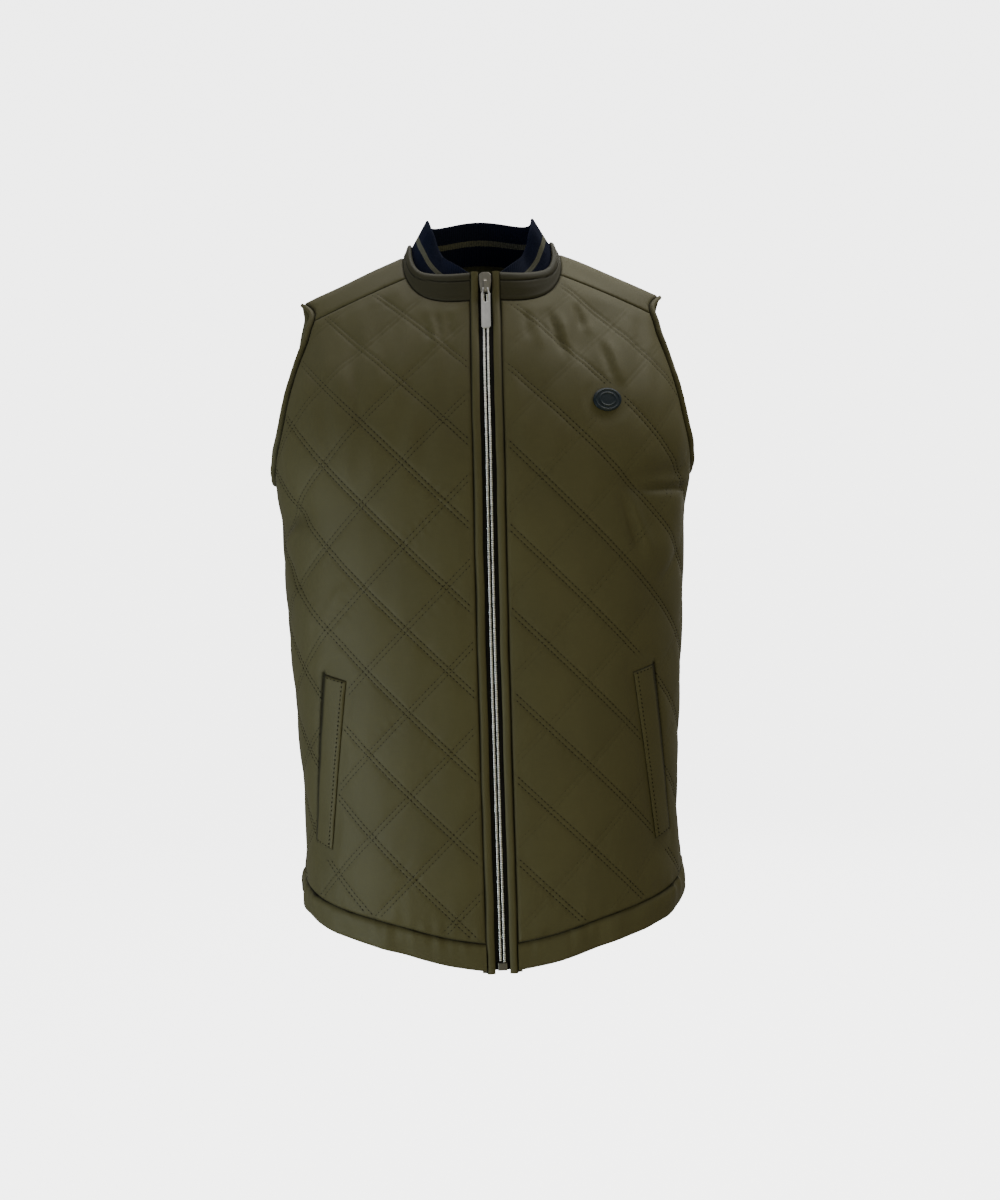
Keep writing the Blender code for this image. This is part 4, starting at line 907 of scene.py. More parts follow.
class CollarBase:
    """The neck seam from the left front edge to the back middle, with the collar's directions on it."""

    def __init__(self, step, lean_column):
        parts = [line.even(step).solid() for line in (NECK_OF_PANEL, NECK_OF_YOKE, NECK_ON_BACK)]
        self.spots = np.concatenate([part[0][:-1] for part in parts] + [parts[-1][0][-1:]])
        self.panel_out = np.concatenate([part[1][:-1] for part in parts] + [parts[-1][1][-1:]])
        along = np.gradient(self.spots, axis=0)
        along[0] = (1, 0, 0)
        along[-1] = (-1, 0, 0)
        along /= np.linalg.norm(along, axis=1)[:, None]
        level = along * (1, 1, 0)
        level /= np.linalg.norm(level, axis=1)[:, None]
        inward = np.stack([-level[:, 1], level[:, 0], np.zeros(len(level))], axis=1)
        reach = np.concatenate([[0], np.cumsum(np.linalg.norm(np.diff(self.spots, axis=0), axis=1))])
        self.share = reach / reach[-1]
        self.length = reach[-1]
        shares = [row.share_round for row in COLLAR]
        leans = [getattr(row, lean_column) for row in COLLAR]
        lean = np.radians(smooth_curve(shares, leans, self.share))[:, None]
        self.band_height = smooth_curve(shares, [row.band_height for row in COLLAR], self.share)
        self.rib_height = smooth_curve(shares, [row.rib_height for row in COLLAR], self.share)
        upright = np.array((0.0, 0.0, 1.0))
        self.up = upright * np.cos(lean) + inward * np.sin(lean)
        self.out = upright * np.sin(lean) - inward * np.cos(lean)
        off_panel = np.cross(along, self.panel_out)
        off_panel *= np.sign(np.sum(off_panel * self.up, axis=1))[:, None]
        self.spots = self.spots + off_panel * SEAM_GAP / 2

    def ring(self, index, profile):
        """Section points at one station; the section's foot turns to lie along the panel's edge."""
        made = []
        for height, out in profile:
            blend = float(ease(height / COLLAR_FILLET))
            direction = self.panel_out[index] * (1 - blend) + self.out[index] * blend
            direction = direction / np.linalg.norm(direction)
            made.append(self.spots[index] + self.up[index] * height + direction * out)
        return np.array(made)


def both_sides(rings):
    """Rings from the right front edge round the back to the left, from the left half's rings."""
    return rings[:-1] + [ring * (-1, 1, 1) for ring in rings[::-1]]


class Opening:
    """The front middle line, from the hem to the top of the collar, with its outward direction."""

    def __init__(self):
        height = np.linspace(HEM[0].height, NECK_ON_FRONT.read("z")[0], OPENING_POINTS)
        middle = Line(FRONT, *FRONT.find(FRONT.z, height, FRONT.turn, np.zeros(OPENING_POINTS)))
        body, _ = middle.solid()
        lean = math.radians(COLLAR[0].band_lean)
        climb = np.linspace(OPENING_STEP, COLLAR_HEIGHT, int(COLLAR_HEIGHT / OPENING_STEP))[:, None]
        collar = body[-1] + climb * np.array((0, math.sin(lean), math.cos(lean)))
        path = even_steps(np.concatenate([body, collar]), OPENING_STEP)
        side = OPENING_SMOOTHING
        window = np.ones(2 * side + 1) / (2 * side + 1)
        for axis in (1, 2):
            path[side:-side, axis] = np.convolve(path[:, axis], window, mode="valid")
        self.path = path
        self.reach = np.concatenate([[0], np.cumsum(np.linalg.norm(np.diff(path, axis=0), axis=1))])
        self.top = self.reach[-1]
        self.neck = self.top - COLLAR_HEIGHT

    def at(self, reach):
        """Points on the line at distances up from the hem, with the ways up and out there."""
        reach = np.asarray(reach, float)
        spots = np.stack([np.interp(reach, self.reach, column) for column in self.path.T], axis=1)
        ahead = np.stack([np.interp(reach + 1, self.reach, column) for column in self.path.T], axis=1)
        behind = np.stack([np.interp(reach - 1, self.reach, column) for column in self.path.T], axis=1)
        up = ahead - behind
        up /= np.linalg.norm(up, axis=1)[:, None]
        out = np.stack([np.zeros(len(up)), -up[:, 2], up[:, 1]], axis=1)
        return spots, up, out


OPENING = Opening()


def depth_inside(points, outline):
    """Distance of each point from the outline, minus when it is outside."""
    edge = np.roll(outline, -1, axis=0) - outline
    low = outline[:, 1]
    high = low + edge[:, 1]
    slope = edge[:, 0] / np.where(edge[:, 1] == 0, 1e-12, edge[:, 1])
    depths = []
    for group in np.array_split(points, len(points) // POINTS_AT_ONCE + 1):
        offset = group[:, None, :] - outline[None]
        share = np.clip(np.sum(offset * edge, axis=2) / np.sum(edge * edge, axis=1), 0, 1)
        distance = np.linalg.norm(offset - share[:, :, None] * edge, axis=2).min(axis=1)
        height = group[:, 1][:, None]
        crosses = (low <= height) != (high <= height)
        beyond = group[:, 0][:, None] < outline[:, 0] + (height - low) * slope
        inside = np.sum(crosses & beyond, axis=1) % 2 == 1
        depths.append(np.where(inside, distance, -distance))
    return np.concatenate(depths)


def distance_from(points, line):
    """Distance of each flat point from the nearest point of a line."""
    return np.linalg.norm(points[:, None, :] - line[None], axis=2).min(axis=1)


def in_box(points, outline):
    """Whether each point is in the box round an outline."""
    return np.all((points > outline.min(axis=0)) & (points < outline.max(axis=0)), axis=1)


def wrinkled(points, kind, seed=0):
    """Soft irregular heights of one kind of wrinkle at flat points."""
    chance = np.random.default_rng(kind.seed + seed)
    total = np.zeros(len(points))
    for _ in range(WRINKLE_WAVES):
        turn = chance.uniform(0, 2 * math.pi)
        size = kind.length * chance.uniform(SHORTEST_WAVE, LONGEST_WAVE)
        phase = chance.uniform(0, 2 * math.pi)
        along = points[:, 0] * kind.across * math.cos(turn) + points[:, 1] * kind.up * math.sin(turn)
        total += np.sin(along * 2 * math.pi / size + phase)
    return kind.height * total / math.sqrt(WRINKLE_WAVES)


def edge_roll(edge):
    """How far the cloth turns in at a seam."""
    share = np.clip(edge / EDGE_ROLL, 0, 1)
    return EDGE_ROLL_DEPTH * (1 - np.sqrt(1 - (1 - share) ** 2))


def polygon_area(outline):
    """Area inside a flat outline."""
    x, y = outline.T
    return abs(np.sum(x * np.roll(y, -1) - y * np.roll(x, -1))) / 2


# Meshes

def make_piece(name, points, faces, material, flat, marks=None):
    """One smooth mesh from points in millimetres, with its cloth coordinates and marks kept on it."""
    mesh = bpy.data.meshes.new(name)
    mesh.from_pydata((hung(points) * MM).tolist(), [], faces)
    corners = np.zeros(len(mesh.loops), dtype=np.int32)
    mesh.loops.foreach_get("vertex_index", corners)
    layer = mesh.uv_layers.new(name="cloth")
    layer.data.foreach_set("uv", np.asarray(flat, np.float32)[corners].ravel())
    for mark, values in (marks or {}).items():
        attribute = mesh.attributes.new(mark, "FLOAT", "POINT")
        attribute.data.foreach_set("value", np.asarray(values, np.float32))
    work = bmesh.new()
    work.from_mesh(mesh)
    bmesh.ops.recalc_face_normals(work, faces=work.faces)
    work.to_mesh(mesh)
    work.free()
    mesh.shade_smooth()
    mesh.set_sharp_from_angle(angle=math.radians(SHARP_ANGLE))
    mesh.materials.append(material)
    piece = bpy.data.objects.new(name, mesh)
    bpy.context.scene.collection.objects.link(piece)
    return piece


def dress(piece, slot, *nodes, body="garment"):
    """Hang a finished piece on its body, in place of the solids it shows."""
    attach(piece, body)
    if nodes:
        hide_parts(*nodes)
    return piece


def edge_loops(outline):
    """Rows of points just inside an outline, where the cloth turns in."""
    loops = np.concatenate([inset(outline, distance) for distance in EDGE_LOOPS])
    return loops[depth_inside(loops, outline) > EDGE_LOOPS[0] * EDGE_LOOP_CLEAR]


def make_sheet(name, material, outline, inside, plain, place, lift, marks):
    """A cloth panel: an outer face with its relief, a plain inner face and a rim round both."""
    outer_faces, outer_count = triangulate(outline, inside)
    inner_faces, inner_count = triangulate(outline, plain)
    outer_flat = np.concatenate([outline, inside])
    inner_flat = np.concatenate([outline, plain])
    outer = place(outer_flat, lift(outer_flat))
    inner = place(inner_flat, np.zeros(inner_count))
    faces = list(outer_faces)
    faces += [tuple(corner + outer_count for corner in reversed(face)) for face in inner_faces]
    count = len(outline)
    for index in range(count):
        after = (index + 1) % count
        faces.append((index, outer_count + index, outer_count + after, after))
    kept = {}
    for mark, values in marks(outer_flat).items():
        kept[mark] = np.concatenate([values, np.zeros(inner_count)])
    flat = np.concatenate([outer_flat, inner_flat])
    return make_piece(name, np.concatenate([outer, inner]), faces, material, flat, kept)


def sweep(name, material, rings, closed=False, marks=None):
    """A piece from rings of points with one count each, capped at its ends if open."""
    rings = np.asarray(rings)
    count, sides = rings.shape[:2]
    faces = []
    for ring in range(count if closed else count - 1):
        low = ring * sides
        high = (ring + 1) % count * sides
        for side in range(sides):
            after = (side + 1) % sides
            faces.append((low + side, low + after, high + after, high + side))
    if not closed:
        faces.append(tuple(range(sides)))
        faces.append(tuple(range((count - 1) * sides, count * sides)))
    middle = rings.mean(axis=1)
    along = np.concatenate([[0], np.cumsum(np.linalg.norm(np.diff(middle, axis=0), axis=1))])
    around = np.concatenate([[0], np.cumsum(np.linalg.norm(np.diff(rings[0], axis=0), axis=1))])
    flat = np.stack(np.meshgrid(along, around, indexing="ij"), axis=2).reshape(-1, 2)
    kept = {mark: np.asarray(values).ravel() for mark, values in (marks or {}).items()}
    return make_piece(name, rings.reshape(-1, 3), faces, material, flat, kept)


def round_section(corners, count):
    """A closed section drawn smoothly through its corners."""
    loop = np.array(list(corners[-2:]) + list(corners) + list(corners[:3]), float)
    knots = np.concatenate([[0], np.cumsum(np.linalg.norm(np.diff(loop, axis=0), axis=1))])
    return smooth_curve(knots, loop, np.linspace(knots[2], knots[-3], count, endpoint=False))


# Quilted fronts and back

def row_places(points, quilting):
    """For each row direction: distance from the nearest row's middle, and place along that row."""
    across = points[:, 0] - quilting.across
    height = points[:, 1] - quilting.height
    rising = (across + height) / math.sqrt(2)
    falling = (across - height) / math.sqrt(2)
    for beside, along in ((rising, falling), (falling, rising)):
        distance = np.abs((beside / ROW_SPACING + 0.5) % 1.0 - 0.5) * ROW_SPACING
        yield distance, along


def rows_each_way(outline):
    """How many rows are enough to pass the outline on every side."""
    return int(np.abs(outline).max() * 2 / ROW_SPACING) + 2


def quilt_points(outline, quilting):
    """Points close together at the sewn rows and further apart on the pillows between them."""
    gap = ROW_SPACING - STOPS_AT_ROW[-1] + STOPS_AT_ROW[0]
    between = np.linspace(0, gap, int(gap / STOP_BETWEEN_ROWS) + 1)[1:-1] + STOPS_AT_ROW[-1]
    stops = np.concatenate([STOPS_AT_ROW, between])
    reach = rows_each_way(outline)
    stops = np.concatenate([stops + number * ROW_SPACING for number in range(-reach, reach)])
    rising, falling = [grid.ravel() for grid in np.meshgrid(stops, stops)]
    across = quilting.across + (rising + falling) / math.sqrt(2)
    height = quilting.height + (rising - falling) / math.sqrt(2)
    points = np.stack([across, height], axis=1)
    points = points[in_box(points, outline)]
    return points[depth_inside(points, outline) > EDGE_LOOPS[-1] + 1]


class QuiltedPanel:
    """A quilted front or the back, worked out in flat cloth coordinates: across and up."""

    def __init__(self, half, outline, quilting, folds, creases, side=0):
        self.half = half
        self.quilting = quilting
        self.folds = folds
        self.creases = creases
        self.side = side
        self.outline = inset(outline, -SEAM_LAP)
        hem = self.outline[self.outline[:, 1] < self.outline[:, 1].min() + HEM_RISES]
        self.hem = hem[np.argsort(hem[:, 0])]

    def above_hem(self, points):
        """Height of flat points over the panel's hem edge."""
        return points[:, 1] - np.interp(points[:, 0], self.hem[:, 0], self.hem[:, 1])

    def on_welt(self, share_down, share_across):
        """Flat points on the pocket welt: a share of its length, and of its width from its middle."""
        slant = WELT_BOTTOM_ACROSS - WELT_TOP_ACROSS
        across = WELT_TOP_ACROSS + share_down * slant + share_across * WELT_WIDTH
        height = WELT_TOP + share_down * (WELT_BOTTOM - WELT_TOP) + share_across * WELT_SKEW
        return np.stack([WELT_SHIFT + self.side * across, height], axis=-1)

    def welt_line(self, share_across):
        """A line along the whole welt."""
        return self.on_welt(np.linspace(0, 1, WELT_LINE_POINTS), share_across)

    def beyond_trim(self, points):
        """Distance outside the pieces laid over the panel, minus under them."""
        if self.side == 0:
            return np.full(len(points), np.inf)
        trims = [(self.welt_line(0), WELT_CLEARANCE)]
        if self.side > 0:
            trims.append((np.array([(BADGE_ACROSS, BADGE_HEIGHT)]), BADGE_CLEARANCE))
        return np.min([distance_from(points, line) - clear for line, clear in trims], axis=0)

    def from_slit(self, points):
        """Distance from the pocket slit along the welt, endless on a panel without one."""
        if self.side == 0:
            return np.full(len(points), np.inf)
        return distance_from(points, self.welt_line(SLIT_ACROSS))

    def shown(self, points):
        """How much of the sewing shows: it fades towards the shoulder."""
        return 1 - FAINT_CHEST * ease((points[:, 1] - FAINT_FROM) / CHEST_FADE)

    def sewn(self, points):
        """1 on a sewn line, falling to 0 beside it; the falling rows lie a little shallower."""
        rows = row_places(points, self.quilting)
        depth = [np.exp(-((distance - ROW_GAP / 2) / SEWN_WIDTH) ** 2) for distance, _ in rows]
        return np.maximum(depth[0], depth[1] * self.quilting.falling_share)

    def lift(self, points):
        """How far the outer cloth stands off the form."""
        edge = depth_inside(points, self.outline)
        puff = np.ones(len(points))
        pucker = np.zeros(len(points))
        seed = self.quilting.seed
        shares = (1.0, self.quilting.falling_share)
        for number, (distance, along) in enumerate(row_places(points, self.quilting)):
            beyond = np.clip((distance - ROW_GAP / 2) / (ROW_SPACING / 2 - ROW_GAP / 2), 0, 1)
            pull = self.shown(points) * (LEAST_PULL + (1 - LEAST_PULL) * shares[number])
            puff *= 1 - pull * (1 - beyond) ** PUFF_ROUNDNESS
            wander = wrinkled(points, PUCKER_WANDER, seed + number)
            wave = np.sin(2 * math.pi * along / PUCKER_LENGTH + wander)
            pucker += pull * wave * np.exp(-(distance / PUCKER_REACH) ** 2)
        strength = PUCKER_STRENGTH + wrinkled(points, PUCKER_CHANGE, seed)
        lift = PILLOW_RISE * puff + PUCKER_HEIGHT * strength * pucker - SEWN_DEPTH * self.sewn(points)
        lift += fold_lift(points, self.creases)
        chest = ease((points[:, 1] - CHEST_FROM) / CHEST_FADE)
        lift += (WRINKLE_BELOW_CHEST + chest) * wrinkled(points, CHEST_WRINKLES, seed)
        lift *= ease(edge / PUFF_FADE_AT_EDGE) * ease(self.beyond_trim(points) / CLEARANCE_FADE)
        low = np.exp(-np.maximum(self.above_hem(points), 0) / GATHER_REACH)
        gather = low * wrinkled(points, HEM_GATHERS, seed)
        slit = SLIT_DEPTH * np.exp(-(self.from_slit(points) / SLIT_HALF_WIDTH) ** 2)
        return WALL + lift + gather * ease(edge / EDGE_ROLL) - edge_roll(edge) - slit

    def place(self, points, lift):
        """Flat points put on the form, moved out by the folds and a lift."""
        spots, normals = self.half.place(points[:, 0], points[:, 1])
        return spots + normals * (fold_lift(points, self.folds) + lift)[:, None]

    def marks(self, points):
        """Painted shade: how dark the cloth is painted in its seams, along the pocket slit and on its sewn
        lines.
        """
        edge = depth_inside(points, self.outline)
        seam = np.exp(-(edge / SEAM_SHADE_WIDTH) ** 2)
        # Painted shade in the pocket slit beside the welt
        seam = np.maximum(seam, np.exp(-(self.from_slit(points) / SLIT_SHADE_WIDTH) ** 4))
        bare = ease(self.beyond_trim(points) / CLEARANCE_FADE + 1)
        # The sewn mark is painted shade along the quilting rows, for their grooves and needle holes
        return {"seam": seam, "sewn": self.sewn(points) * bare * self.shown(points)}

    def build(self, name, material):
        inside = [edge_loops(self.outline), quilt_points(self.outline, self.quilting)]
        if self.side:
            inside += [self.welt_line(SLIT_ACROSS + stop / WELT_WIDTH) for stop in STOPS_AT_SLIT]
        inside = np.concatenate(inside)
        plain = grid_points(self.outline, INSIDE_SPACING)
        return make_sheet(name, material, self.outline, inside, plain, self.place, self.lift, self.marks)

    def stitch_places(self):
        """Middle of each stitch on the double rows, the row's flat direction and how far it shows."""
        reach = rows_each_way(self.outline)
        along = np.arange(-reach * ROW_SPACING, reach * ROW_SPACING, STITCH_STEP)
        rows = range(-reach, reach)
        lines = [number * ROW_SPACING + side * ROW_GAP / 2 for number in rows for side in (-1, 1)]
        beside, along = [grid.ravel() for grid in np.meshgrid(lines, along)]
        points = []
        ways = []
        shows = []
        for turn, share in ((1, 1.0), (-1, self.quilting.falling_share)):
            across = self.quilting.across + (beside + along) / math.sqrt(2)
            height = self.quilting.height + turn * (beside - along) / math.sqrt(2)
            points.append(np.stack([across, height], axis=1))
            ways.append(np.repeat(np.array([(1, -turn)]) / math.sqrt(2), len(across), axis=0))
            shows.append(np.full(len(across), share))
        points = np.concatenate(points)
        ways = np.concatenate(ways)
        shows = np.concatenate(shows) * self.shown(points)
        near = in_box(points, self.outline)
        points, ways, shows = points[near], ways[near], shows[near]
        clear = (depth_inside(points, self.outline) > EDGE_ROLL) & (self.beyond_trim(points) > 0)
        return points[clear], ways[clear], shows[clear]

    def stitches(self):
        """Solid places, directions along and directions outwards for the stitches."""
        points, ways, shows = self.stitch_places()
        rise = STITCH_RISE - STITCH_SINK * (1 - shows)
        spots = self.place(points, self.lift(points) + rise)
        next_points = points + ways * STITCH_LOOK_AHEAD
        ahead = self.place(next_points, self.lift(next_points) + rise) - spots
        _, out = self.half.place(points[:, 0], points[:, 1])
        return spots, ahead, out


# Plain pieces

def place_on_yoke(points, lift):
    """Yoke points, whose second value is the way back from the ridge, moved out by a lift."""
    made = np.zeros((len(points), 3))
    for half, mask in ((FRONT, points[:, 1] < 0), (BACK, points[:, 1] >= 0)):
        part = points[mask]
        row, column = half.find(half.round, np.abs(part[:, 0]), half.from_ridge, np.abs(part[:, 1]))
        spots, normals = half.pick(row, column, np.sign(part[:, 0]))
        made[mask] = spots + normals * lift[mask][:, None]
    return made


def build_yoke(material):
    """The plain yoke over both shoulders, and its flat outline."""
    outline = inset(yoke_outline(), -SEAM_LAP)

    def lift(points):
        edge = depth_inside(points, outline)
        wrinkle = wrinkled(points, YOKE_WRINKLES) * ease(edge / PUFF_FADE_AT_EDGE)
        return WALL + wrinkle - edge_roll(edge)

    # Painted shade along the yoke's seams
    def marks(points):
        return {"seam": np.exp(-(depth_inside(points, outline) / SEAM_SHADE_WIDTH) ** 2)}

    inside = np.concatenate([edge_loops(outline), grid_points(outline, YOKE_SPACING)])
    plain = grid_points(outline, INSIDE_SPACING)
    yoke = make_sheet("yoke_cloth", material, outline, inside, plain, place_on_yoke, lift, marks)
    return yoke, outline


def hem_rings(half, start, seed):
    """Rings along one half's hem band, from the middle to the side seam, and their seam shade."""
    top = HEM_BAND - SEAM_GAP / 2
    section = round_section(band_section(HEM_SECTION, top, WALL, HEM_BULGE), BAND_POINTS)
    columns = []
    shades = []
    for above, out in section:
        line = hem_part(half, above, start)
        line = line.at(np.linspace(0, len(line.row) - 1, HEM_STATIONS))
        spots, normals = line.solid()
        places = np.stack([line.read("round"), np.full(HEM_STATIONS, above)], axis=1)
        below_seam = max(top - above, 0.0)
        gather = math.exp(-below_seam / HEM_GATHER_REACH) * wrinkled(places, BAND_GATHERS, seed)
        wrinkle = gather + wrinkled(places, BAND_WRINKLES, seed)
        sunk = HEM_SEAM_DEPTH * math.exp(-(below_seam / HEM_SEAM_WIDTH) ** 2)
        outside = float(ease(out / WALL))
        columns.append(spots + normals * (out + outside * (wrinkle - sunk))[:, None])
        # Painted shade below the band's top seam
        shades.append(np.full(HEM_STATIONS, math.exp(-(below_seam / SEAM_SHADE_WIDTH) ** 2)))
    return np.stack(columns, axis=1), np.stack(shades, axis=1)


def build_hem_bands(material):
    """The three lengths of hem band, the back one from side seam to side seam."""
    flip = np.array((-1, 1, 1))
    left, shade = hem_rings(FRONT, FRONT_EDGE, BAND_SEEDS["left"])
    right, _ = hem_rings(FRONT, FRONT_EDGE, BAND_SEEDS["right"])
    back, back_shade = hem_rings(BACK, 0.0, BAND_SEEDS["back"])
    whole_back = np.concatenate([back[:0:-1] * flip, back])
    whole_shade = np.concatenate([back_shade[:0:-1], back_shade])
    return [
        sweep("hem_band_left_cloth", material, left, marks={"seam": shade}),
        sweep("hem_band_right_cloth", material, right * flip, marks={"seam": shade}),
        sweep("hem_band_back_cloth", material, whole_back, marks={"seam": whole_shade}),
    ]


def build_bindings(material):
    """A soft band round each armhole, on the opening side of its seam."""
    lines = [ARM_OF_YOKE, ARM_OF_PANEL, ARM_OF_BACK.turned(), ARM_OF_BACK_YOKE.turned()]
    parts = [line.even(BINDING_STEP).solid() for line in lines]
    spots = np.concatenate([part[0][:-1] for part in parts])
    normals = np.concatenate([part[1][:-1] for part in parts])
    along = np.roll(spots, -1, axis=0) - np.roll(spots, 1, axis=0)
    into = np.cross(normals, along)
    into /= np.linalg.norm(into, axis=1)[:, None]
    into *= np.sign(np.sum(into * (spots.mean(axis=0) - spots), axis=1))[:, None]
    flare = math.radians(BINDING_FLARE) * (1 - normals[:, 2:] ** 2)
    outer = (into * np.cos(flare) + normals * np.sin(flare)) * (1 - BINDING_DRAWN_IN * normals[:, 2:] ** 2)
    reach = np.cumsum(np.linalg.norm(along, axis=1)) / 2
    width = BINDING_WIDTH - SEAM_GAP / 2
    section = round_section(band_section(BINDING_SECTION, width, WALL, BINDING_BULGE), BAND_POINTS)
    columns = []
    shades = []
    for from_edge, out in section:
        places = np.stack([reach, np.full(len(reach), from_edge)], axis=1)
        outside = float(ease(out / WALL))
        from_seam = max(width - from_edge, 0.0)
        sunk = BINDING_SEAM_DEPTH * math.exp(-(from_seam / BINDING_SEAM_WIDTH) ** 2)
        lift = out + outside * (wrinkled(places, BINDING_WRINKLES) - sunk)
        columns.append(spots + outer * (BINDING_WIDTH - from_edge) + normals * lift[:, None])
        # Painted shade along the binding's seam
        shades.append(np.full(len(reach), math.exp(-(from_seam / SEAM_SHADE_WIDTH) ** 2)))
    rings = np.stack(columns, axis=1)
    shade = np.stack(shades, axis=1)
    left = sweep("armhole_binding_left_cloth", material, rings, True, {"seam": shade})
    right = sweep("armhole_binding_right_cloth", material, rings * (-1, 1, 1), True, {"seam": shade})
    return [left, right], reach[-1]


def build_collar(material):
    """The outer collar band, pulled in a little along its sewn line, and its stitches."""
    base = CollarBase(NECK_STEP, "band_lean")
    rings = []
    shades_round = []
    stitch_spots = []
    for index, high in enumerate(base.band_height):
        line_height = high - COLLAR_STITCH_BELOW_TOP
        section = round_section(band_section(COLLAR_SECTION, high, COLLAR_WALL, COLLAR_BULGE), COLLAR_POINTS)
        places = np.stack([np.full(COLLAR_POINTS, base.share[index] * base.length), section[:, 0]], axis=1)
        outside = ease(section[:, 1] / COLLAR_WALL)
        groove = COLLAR_GROOVE * np.exp(-((section[:, 0] - line_height) / SEWN_WIDTH) ** 2)
        sunk = COLLAR_SEAM_DEPTH * np.exp(-(section[:, 0] / COLLAR_SEAM_WIDTH) ** 2)
        out = section[:, 1] + outside * (wrinkled(places, COLLAR_WRINKLES) - groove - sunk)
        rings.append(base.ring(index, np.stack([section[:, 0], out], axis=1)))
        stitch_spots.append(base.ring(index, [(line_height, COLLAR_WALL + COLLAR_BULGE - COLLAR_GROOVE)])[0])
        # Painted shade at the collar's neck seam and along its sewn line
        seam = np.exp(-(section[:, 0] / SEAM_SHADE_WIDTH) ** 2)
        line = COLLAR_LINE_SHADE * np.exp(-((section[:, 0] - line_height) / SEWN_WIDTH) ** 2) * outside
        shades_round.append(np.maximum(seam, line))
    shade = shades_round[:-1] + shades_round[::-1]
    band = sweep("collar_band_cloth", material, both_sides(rings), marks={"seam": shade})
    half_line = even_steps(np.array(stitch_spots), STITCH_STEP)
    line = np.concatenate([half_line[:-1], half_line[::-1] * (-1, 1, 1)])
    out_of_neck = line * (1, 1, 0) - line.mean(axis=0) * (1, 1, 0)
    area = 2 * base.length * float(np.mean(base.band_height))
    return band, base.length, area, (line, np.gradient(line, axis=0), out_of_neck)


def build_rib(material):
    """The knitted band inside the collar, ridged on both faces, with its depth below the top edge kept."""
    base = CollarBase(RIB_PITCH / STEPS_IN_RIB, "rib_lean")
    rings = []
    depths = []
    ridges = []
    for index in range(len(base.spots)):
        high = base.rib_height[index]
        ridge = 0.5 + 0.5 * math.cos(2 * math.pi * index / STEPS_IN_RIB)
        face = -RIB_CLEARANCE - RIB_RELIEF + RIB_RELIEF * ridge
        inside = -RIB_CLEARANCE - RIB_RELIEF - RIB_WALL - RIB_RELIEF * ridge
        heights = np.linspace(0, high - RIB_EDGE, RIB_ROWS)
        section = [(height, inside) for height in heights]
        section.append((high, (inside + face) / 2))
        section += [(height, face) for height in heights[::-1]]
        rings.append(base.ring(index, section))
        depths.append([high - height for height, _ in section])
        ridges.append([ridge] * len(section))
    # The ridge mark carries painted shade into the grooves between the ribs
    marks = {"from_top": depths[:-1] + depths[::-1], "ridge": ridges[:-1] + ridges[::-1]}
    rib = sweep("collar_rib_knit", material, both_sides(rings), marks=marks)
    return rib, base.length, float(np.mean(base.rib_height))


# The front opening

def strip_rings(section, start, end, wobble):
    """Rings along the opening from a section of distances across and out."""
    reach = np.linspace(start, end, int((end - start) / STRIP_STEP) + 1)
    spots, _, out = OPENING.at(reach)
    aside = wrinkled(np.stack([reach, np.zeros(len(reach))], axis=1), wobble)
    rings = []
    for spot, direction, shift in zip(spots, out, aside):
        rings.append([spot + np.array((x + shift, 0, 0)) + direction * lift for x, lift in section])
    return np.array(rings)


def build_strips(material):
    """The two narrow cloth edges beside the zip."""
    shoulder = STRIP_TOP - (STRIP_TOP - STRIP_BOTTOM) * STRIP_BEVEL_SHARE
    corners = [
        (STRIP_INNER, STRIP_BOTTOM),
        (STRIP_OUTER, STRIP_BOTTOM),
        (STRIP_OUTER, shoulder - STRIP_BEVEL),
        (STRIP_OUTER - STRIP_BEVEL, STRIP_TOP),
        (STRIP_INNER + STRIP_BEVEL, STRIP_TOP),
        (STRIP_INNER, shoulder),
    ]
    section = round_section(corners, STRIP_POINTS)
    foot = int(np.argmax(section[:, 0] - section[:, 1]))
    section = np.insert(section, foot + 1, ALLOWANCE_SECTION, axis=0)
    made = []
    for side, name in ((1, "left"), (-1, "right")):
        wobble = STRIP_WOBBLE._replace(seed=STRIP_WOBBLE.seed + side)
        rings = strip_rings(section * (side, 1), 0, OPENING.top, wobble)
        # Painted shade along the strip's outer seam
        shade = np.tile(np.exp(-((STRIP_OUTER - section[:, 0]) / SEAM_SHADE_WIDTH) ** 2), (len(rings), 1))
        made.append(sweep("edge_strip_" + name + "_cloth", material, rings, marks={"seam": shade}))
    return made


def build_tapes(material):
    """The two woven tapes under the teeth, which run on under the edge strips."""
    straight = STRIP_WOBBLE._replace(height=0.0)
    top = OPENING.top - TAPE_BELOW_TOP
    section = [
        (TAPES_MEET, 0),
        (TAPE_OUTER, 0),
        (TAPE_OUTER, TAPE_THICK),
        (CHAIN_HALF_WIDTH, TAPE_THICK),
        (TAPES_MEET, TAPE_THICK),
    ]
    made = []
    for side, name in ((1, "left"), (-1, "right")):
        rings = strip_rings(np.array(section) * (side, 1), BOX_FROM_HEM, top, straight)
        made.append(sweep("zip_tape_" + name + "_cloth", material, rings))
    return made


def tooth_places():
    """Middle of each closed tooth on both sides, half a pitch apart, with its directions along and out."""
    start = BOX_FROM_HEM + BOX_LENGTH + SEAM_GAP + TOOTH_PITCH / 2
    end = OPENING.neck + SLIDER_FROM_NECK - SEAM_GAP - TOOTH_PITCH / 2
    spots = []
    outs = []
    for side, shift in ((1, 0.0), (-1, TOOTH_PITCH / 2)):
        middle, _, out = OPENING.at(np.arange(start + shift, end, TOOTH_PITCH))
        spots.append(middle + np.array((side * TOOTH_MIDDLE, 0, 0)) + out * TOOTH_OUT)
        outs.append(out)
    spots = np.concatenate(spots)
    return spots, np.repeat(np.array([(1.0, 0.0, 0.0)]), len(spots), axis=0), np.concatenate(outs)


# Welts and badge

